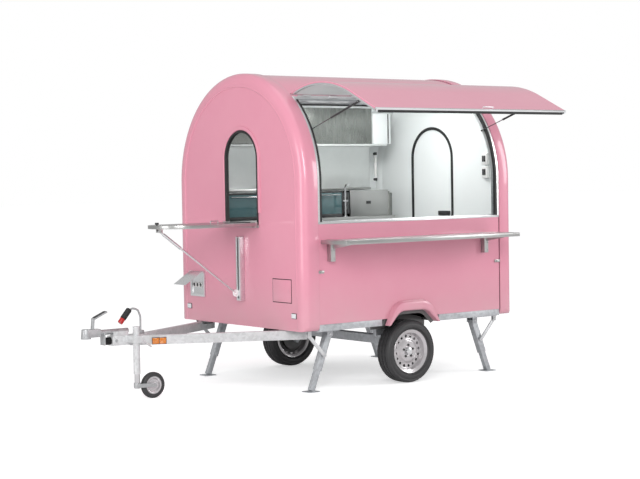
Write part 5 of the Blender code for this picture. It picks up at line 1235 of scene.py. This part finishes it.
rim += [(0.040, 0.007), (0.052, 0.008), (0.058, 0.016), (0.062, 0.0225), (0.067, 0.0245), (0.077, 0.0225)]
lathe(shape, rim + [(radius, -along) for radius, along in rim[::-1][:-1]], JOCKEY_HUB, (0, -1, 0), 64)
piece("jockey_wheel_centre", shape, wheel_paint, "jockey_wheel", "black_rubber", outward=False)
shape = bmesh.new()
tread = [(0.076, 0.020), (0.080, 0.0262), (0.088, 0.0274), (0.100, 0.0265), (0.110, 0.020), (0.1145, 0.010)]
back = [(radius, -along) for radius, along in tread[::-1]]
lathe(shape, [back[-1], *tread, (0.115, 0.0), *back], JOCKEY_HUB, (0, -1, 0), 72)
piece("jockey_tyre", shape, tyre_rubber, "jockey_wheel", "black_rubber", ["jockey_wheel"], outward=False)

# Lamps: clear front markers and red rear lamps with an amber indicator over the red, each a ribbed
# moulded lens clipped on a black base that is screwed to the wall.
LAMP_Z = 0.69
ribs, inlet, outlet, place = new_group("lens_ribs", {}, ("Shade", "Normal"))
bands = node(ribs, "ShaderNodeTexWave", Scale=95.0, bands_direction="Z")
bump = node(ribs, "ShaderNodeBump", Distance=0.0012, Strength=0.5)
wire(ribs, (place, "Object", bands, "Vector"), (bands, "Fac", bump, "Height"))
wire(ribs, (bands, "Fac", outlet, "Shade"), (bump, "Normal", outlet, "Normal"))


def lens(name, dark, light):
    settings = {"Roughness": 0.12, "Coat Weight": 0.7}
    return surface(name, "lens_ribs", "Shade", (dark, light), settings)[0]


red_lens = lens("red_lens", (0.30, 0.008, 0.006), (0.52, 0.02, 0.015))
amber_lens = lens("amber_lens", (0.52, 0.12, 0.004), (0.74, 0.24, 0.01))
clear_lens = lens("clear_lens", (0.62, 0.64, 0.66), (0.84, 0.86, 0.88))
for side, word in ((-1, "near"), (1, "far")):
    y = side * 0.84
    base = ((-0.005, y - 0.035, LAMP_Z - 0.0245), (-0.0004, y + 0.035, LAMP_Z + 0.0245), 0.002)
    block_piece(f"front_lamp_{word}_base", black_plastic, "clear_lamp", base)
    shape = bmesh.new()
    soft_block(shape, (-0.012, y - 0.031, LAMP_Z - 0.0205), (-0.004, y + 0.031, LAMP_Z + 0.0205), 0.003)
    stand_for(f"front_lamp_{word}", shape, clear_lens, "lens")
    y = side * 0.81
    x = BODY_LENGTH + 0.0004
    base = ((x, y - 0.055, 0.670), (x + 0.014, y + 0.055, 0.820), 0.004)
    block_piece(f"rear_lamp_{word}_base", black_plastic, "red_lamp", base)
    shape = bmesh.new()
    soft_block(shape, (x + 0.012, y - 0.050, 0.675), (x + 0.0295, y + 0.050, 0.7445), 0.005)
    stand_for(f"rear_lamp_{word}", shape, red_lens, "lens")
    indicator = ((x + 0.012, y - 0.050, 0.7455), (x + 0.0295, y + 0.050, 0.815), 0.005)
    block_piece(f"rear_lamp_{word}_indicator", amber_lens, "red_lamp", indicator)

# Floor: grey slip-resistant sheet on ply, with a fine pebbled grain. The ply is bolted to the frame,
# and the sheet is glued over it.
pebbled = rubbery("pebbled_floor", (0.20, 0.205, 0.21), 0.62, grey=1.2)
softened("floor", pebbled, 0.002)

# Kitchen unit: a folded stainless carcass with three bays and a worktop over them, with a drawer's
# front and a door to each bay, and a polished bar handle screwed to every one.
UNIT = (0.17, 2.30)
UNIT_FRONT = 0.47
UNIT_TOP = 1.50
softened("kitchen_unit", brushed, 0.002)
BAR_OUT = UNIT_FRONT - 0.022
shape, handles = bmesh.new(), bmesh.new()
pitch = (UNIT[1] - UNIT[0] - 0.015) / 3
for bay in range(3):
    x = UNIT[0] + 0.015 + bay * pitch
    for z0, z1 in ((1.275, 1.455), (0.715, 1.268)):
        soft_block(
            shape, (x + 0.004, UNIT_FRONT + 0.004, z0), (x + pitch - 0.019, UNIT_FRONT + 0.022, z1), 0.003
        )
    for z in (1.42, 1.235):
        rod(handles, (x + 0.10, BAR_OUT, z), (x + pitch - 0.115, BAR_OUT, z), 0.005, 14, 0.002)
        for foot in (x + 0.12, x + pitch - 0.135):
            rod(handles, (foot, BAR_OUT, z), (foot, UNIT_FRONT + 0.006, z), 0.004, 12)
piece("unit_fronts", shape, brushed, "trailer", "stainless_steel")
piece("unit_handles", handles, polished, "trailer", "stainless_steel")

# Ovens: two black counter ovens, folded from sheet and enamelled, with a toned glass door, a polished
# bar handle and three moulded knobs each. They stand on the worktop.
OVENS = (0.20, 1.72)
OVEN_FRONT = 0.50
OVEN_BACK = 0.875
OVEN_TOP = 1.765
enamel = gelcoat(
    "black_enamel", (0.016, 0.017, 0.018), (0.022, 0.023, 0.024), 0.22, coat=0.5, dusty=(0.06, 0.06, 0.06)
)
toned_glass = gelcoat(
    "toned_glass", (0.035, 0.085, 0.095), (0.06, 0.13, 0.14), 0.08, coat=1.0, dusty=(0.08, 0.12, 0.12)
)
frames, doors, bars, knobs = (bmesh.new() for _ in range(4))
half_run = (OVENS[1] - OVENS[0]) / 2
for number in range(2):
    x0 = OVENS[0] + number * half_run + 0.001
    x1 = x0 + half_run - 0.003
    z0, z1 = UNIT_TOP + 0.0005, OVEN_TOP
    soft_block(frames, (x0, OVEN_FRONT + 0.012, z0), (x1, OVEN_BACK, z1), 0.005)
    rails = ((x0, z0, x1, z0 + 0.035), (x0, z1 - 0.020, x1, z1))
    posts = ((x0, z0, x0 + 0.028, z1), (x1 - 0.10, z0, x1, z1))
    for a, low, b, high in rails + posts:
        soft_block(frames, (a, OVEN_FRONT, low), (b, OVEN_FRONT + 0.02, high), 0.003)
    soft_block(
        doors, (x0 + 0.026, OVEN_FRONT + 0.003, z0 + 0.033), (x1 - 0.098, OVEN_FRONT + 0.016, z1 - 0.018),
        0.002
    )
    bar_y, bar_z = OVEN_FRONT - 0.016, z1 - 0.040
    rod(bars, (x0 + 0.06, bar_y, bar_z), (x1 - 0.13, bar_y, bar_z), 0.006, 16, 0.002)
    for x in (x0 + 0.08, x1 - 0.15):
        rod(bars, (x, bar_y, bar_z), (x, OVEN_FRONT + 0.006, bar_z), 0.004, 12)
    x = x1 - 0.05
    for z in (z0 + 0.06, z0 + 0.125, z0 + 0.19):
        rod(knobs, (x, OVEN_FRONT + 0.002, z), (x, OVEN_FRONT - 0.018, z), 0.018, 28, 0.003)
        soft_block(
            knobs, (x - 0.003, OVEN_FRONT - 0.024, z - 0.016), (x + 0.003, bar_y, z + 0.016), 0.001
        )
piece("oven_cases", frames, enamel, "trailer", "black_plastic", ["ovens"])
piece("oven_glass", doors, toned_glass, "trailer", "black_plastic")
piece("oven_handles", bars, polished, "trailer", "stainless_steel")
piece("oven_knobs", knobs, black_plastic, "trailer", "black_plastic")

# Steel box beside the ovens: a folded cabinet with a hinged front sheet and a small black catch. It
# stands loose on the worktop.
BOX = (1.73, 2.23)
softened("steel_box", brushed, 0.003)
front = ((BOX[0] + 0.012, OVEN_FRONT - 0.002, 1.520), (BOX[1] - 0.012, OVEN_FRONT + 0.004, 1.745), 0.002)
block_piece("steel_box_front", brushed, "stainless_steel", front)
catch = ((1.935, OVEN_FRONT - 0.012, 1.625), (1.990, OVEN_FRONT - 0.001, 1.655), 0.003)
block_piece("steel_box_catch", black_plastic, "black_plastic", catch)

# Splashback and hood: brushed sheet behind the counter, a shelf, and a sloping extractor hood over
# the ovens with a rolled lip and its filters let in behind it.
bright_sheet = grained(
    "bright_sheet", (0.70, 0.72, 0.71), (0.84, 0.86, 0.85), (0.26, 0.40), (5.0, 5.0, 0.4), 0.02,
    metallic=0.8
)
softened("splashback", bright_sheet, 0.002)
hood_steel = grained(
    "hood_steel", (0.245, 0.255, 0.24), (0.29, 0.30, 0.285), (0.20, 0.34), (5.0, 5.0, 0.4), 0.02
)
SPLASH_Y = 0.888
ledge = ((0.20, SPLASH_Y - 0.030, 1.772), (2.30, SPLASH_Y - 0.002, 1.790), 0.003)
block_piece("splashback_ledge", brushed, "stainless_steel", ledge)
HOOD = (0.17, 1.20)
shape = bmesh.new()
for x in (0.30, 0.62, 0.94):
    soft_block(shape, (x - 0.14, SPLASH_Y - 0.262, 2.2190), (x + 0.14, SPLASH_Y - 0.02, 2.2245), 0.001)
    for step in range(9):
        y = SPLASH_Y - 0.24 + step * 0.026
        soft_block(shape, (x - 0.13, y, 2.2155), (x + 0.13, y + 0.011, 2.2200), 0.001)
piece("hood_filters", shape, brushed, "trailer", "stainless_steel")
shape = bmesh.new()
hood_front = SPLASH_Y - 0.268
hood_high = ARCH_CENTRE + math.sqrt((inner - 0.012) ** 2 - hood_front**2)
section = [(SPLASH_Y, 2.235), (hood_front, 2.225), (hood_front, hood_high)]
section.append((hood_front + 0.10, hood_high - 0.125))
add_sheet(shape, [section], HOOD[1], 0.92)
soft_block(shape, (HOOD[0], hood_front - 0.003, 2.236), (2.12, hood_front - 0.0003, hood_high), 0.001)
piece("hood_front", shape, hood_steel, "trailer", "stainless_steel")
lip = ((HOOD[0], hood_front - 0.006, 2.214), (2.12, hood_front + 0.004, 2.238), 0.002)
block_piece("hood_lip", bright_sheet, "stainless_steel", lip)

# Duct cabinet at the rear end of the hood, folded from white sheet with a black rubber seal on it, and
# two switch boxes and a wall lamp of white plastic with black rockers and end caps, screwed on.
duct = ((2.125, 0.60, 2.236), (2.36, 0.66, hood_high - 0.05), 0.004)
block_piece("duct_cabinet", white_sheet, "stainless_steel", duct)
duct_seal = ((2.318, 0.597, 2.240), (2.330, 0.601, hood_high - 0.055), 0.001)
block_piece("duct_cabinet_seal", rubber, "black_rubber", duct_seal)
shape, rockers = bmesh.new(), bmesh.new()
for z in (1.93, 2.06):
    soft_block(
        shape, (BODY_LENGTH - 0.072, -0.74, z - 0.06), (BODY_LENGTH - WALL - 0.002, -0.66, z + 0.055),
        0.006
    )
    for y in (-0.72, -0.695):
        soft_block(
            rockers, (BODY_LENGTH - 0.078, y, z - 0.03), (BODY_LENGTH - 0.070, y + 0.018, z + 0.03), 0.002
        )
piece("switch_boxes", shape, white_plastic, "trailer")
piece("switch_rockers", rockers, black_plastic, "trailer")
shape, ends = bmesh.new(), bmesh.new()
rod(shape, (2.36, 0.855, 1.88), (2.36, 0.855, 2.13), 0.014, 24, 0.002)
for z0, z1 in ((1.855, 1.885), (2.125, 2.155)):
    rod(ends, (2.36, 0.855, z0), (2.36, 0.855, z1), 0.017, 24, 0.004)
    soft_block(ends, (2.35, 0.855, z0 + 0.004), (2.37, 0.882, z1 - 0.004), 0.002)
piece("wall_lamp_tube", shape, white_plastic, "trailer")
piece("wall_lamp_ends", ends, black_plastic, "trailer")

# On the counter: a polished tap with a cross handle, bent from tube and screwed to the worktop, and a
# row of three dark steel canisters spun from sheet.
shape = bmesh.new()
rod(shape, (1.655, 0.49, 1.50), (1.655, 0.49, 1.512), 0.024, 28, 0.003)
spout = ((0.49, 1.505), (0.49, 1.80), (0.475, 1.825), (0.445, 1.825))
bent_bar(shape, [at(1.655, y, z) for y, z in spout], 0.010, 20)
rod(shape, (1.62, 0.49, 1.66), (1.69, 0.49, 1.66), 0.007, 16, 0.002)
piece("tap", shape, polished, "trailer", "stainless_steel")
shape = bmesh.new()
can = [(0.0001, 0.0), (0.032, 0.0), (0.034, 0.003), (0.034, 0.200), (0.0355, 0.202), (0.0355, 0.225)]
can += [(0.030, 0.232), (0.010, 0.235), (0.010, 0.246), (0.0001, 0.248)]
for y in (0.53, 0.64, 0.75):
    lathe(shape, can, (2.262, y, 1.5003), (0, 0, 1), 40)
piece("canisters", shape, hood_steel, "trailer", "stainless_steel")

# Trim inside the shell: white radius strips that close the lining against both end walls. They are
# bent from the same sheet as the lining and glued over its edge.
shape = bmesh.new()
for at_rear in (False, True):
    rings = []
    for x, inset in ((EDGE_DEPTH + 0.0025, WALL + 0.0012), (WALL + 0.0025, EDGE_RADIUS + 0.0012)):
        place_x = BODY_LENGTH - x if at_rear else x
        rings.append([at(place_x, y, z) for y, z in arch(inset, LINING_LOW, corner=0.001)])
    lay_rings(shape, rings)
piece("lining_corner_strips", shape, white_sheet, "trailer")

# Outside fittings: steel catches on the serving side, a bright pull on the hatch's edge, an access
# panel in the front wall with a black ring round it and strips along the seams, a black cable loop
# under the front, and amber reflectors screwed to the drawbar.
shape = bmesh.new()
CATCH_Z = 1.075
for x in (0.185, 2.325):
    middle = Vector((x, -PANEL_OUT - 0.005, CATCH_Z))
    block_about(shape, middle, (0.034, 0.005, 0.013), 0.003)
    block_about(shape, middle - Vector((0, 0.008, 0)), (0.014, 0.004, 0.009), 0.002)
piece("side_catches", shape, brushed, "trailer")
shape = bmesh.new()
ends = at(1.37, -SKIN_OUT - 0.001, HATCH_LOW + 0.035), at(1.49, -SKIN_OUT - 0.001, HATCH_LOW + 0.035)
for end in ends:
    tube_between(shape, end + Vector((0, 0.004, 0)), end - Vector((0, 0.012, 0)), 0.004, 12)
tube_between(
    shape, ends[0] - Vector((0.003, 0.012, 0)), ends[1] + Vector((0.003, -0.012, 0)), 0.0045, 14, 0.002
)
piece("hatch_pull", swing(shape), bright_trim, "hatch")
panel = ((-0.004, -0.80, 0.805), (0.002, -0.53, 1.005), 0.0015)
panel_catch = ((-0.008, -0.79, 0.89), (-0.003, -0.765, 0.92), 0.002)
block_piece("access_panel", pink_gelcoat, None, panel, panel_catch)
# Painted shadow: the black ring round the access panel stands for the shadow in the gap round it, and the
# black strips along the seams are sealant and also the painted shadow line of each joint.
shape = bmesh.new()
panel_edge = rectangle(-0.800, 0.805, -0.530, 1.005)
add_sheet(shape, [rectangle(-0.807, 0.798, -0.523, 1.012), panel_edge], -0.0010, 0.0015)
for x0, x1 in both_ends(SEAM, SEAM + 0.005):
    add_band(shape, PANEL_OUT + 0.0012, PANEL_OUT - 0.002, PANEL_LOW, -90, 90, x0, x1, steps=96, soft=0)
piece("seam_sealant_and_shadow_lines", shape, rubber, "trailer")
shape = bmesh.new()
loop = (
    (0.03, 0.50, 0.60), (0.03, 0.50, 0.545), (0.0, 0.60, 0.535), (0.0, 0.72, 0.545), (0.03, 0.78, 0.60)
)
bent_bar(shape, [at(*point) for point in loop], 0.007)
piece("cable_loop", shape, black_plastic, "trailer")
shape, lenses = bmesh.new(), bmesh.new()
lean = math.atan(0.5277)
marker = Vector((-0.965, 0.1387, 0.500))
for side in (-1, 1):
    turn = Matrix.Rotation(side * lean, 4, "Z")
    out = Vector((0.0, side, 0.0))
    out.rotate(turn)
    spot = Vector((marker.x, side * marker.y, marker.z))
    for share in (-1, 1):
        centre = spot + turn.to_3x3() @ Vector((share * 0.031, 0, 0)) + out * 0.033
        block_about(lenses, centre, (0.029, 0.006, 0.026), 0.002, turn)
    block_about(shape, spot + out * 0.0260, (0.064, 0.003, 0.030), 0.001, turn)
piece("drawbar_marker_bases", shape, black_plastic, "trailer")
piece("drawbar_marker_lenses", lenses, amber_lens, "trailer")
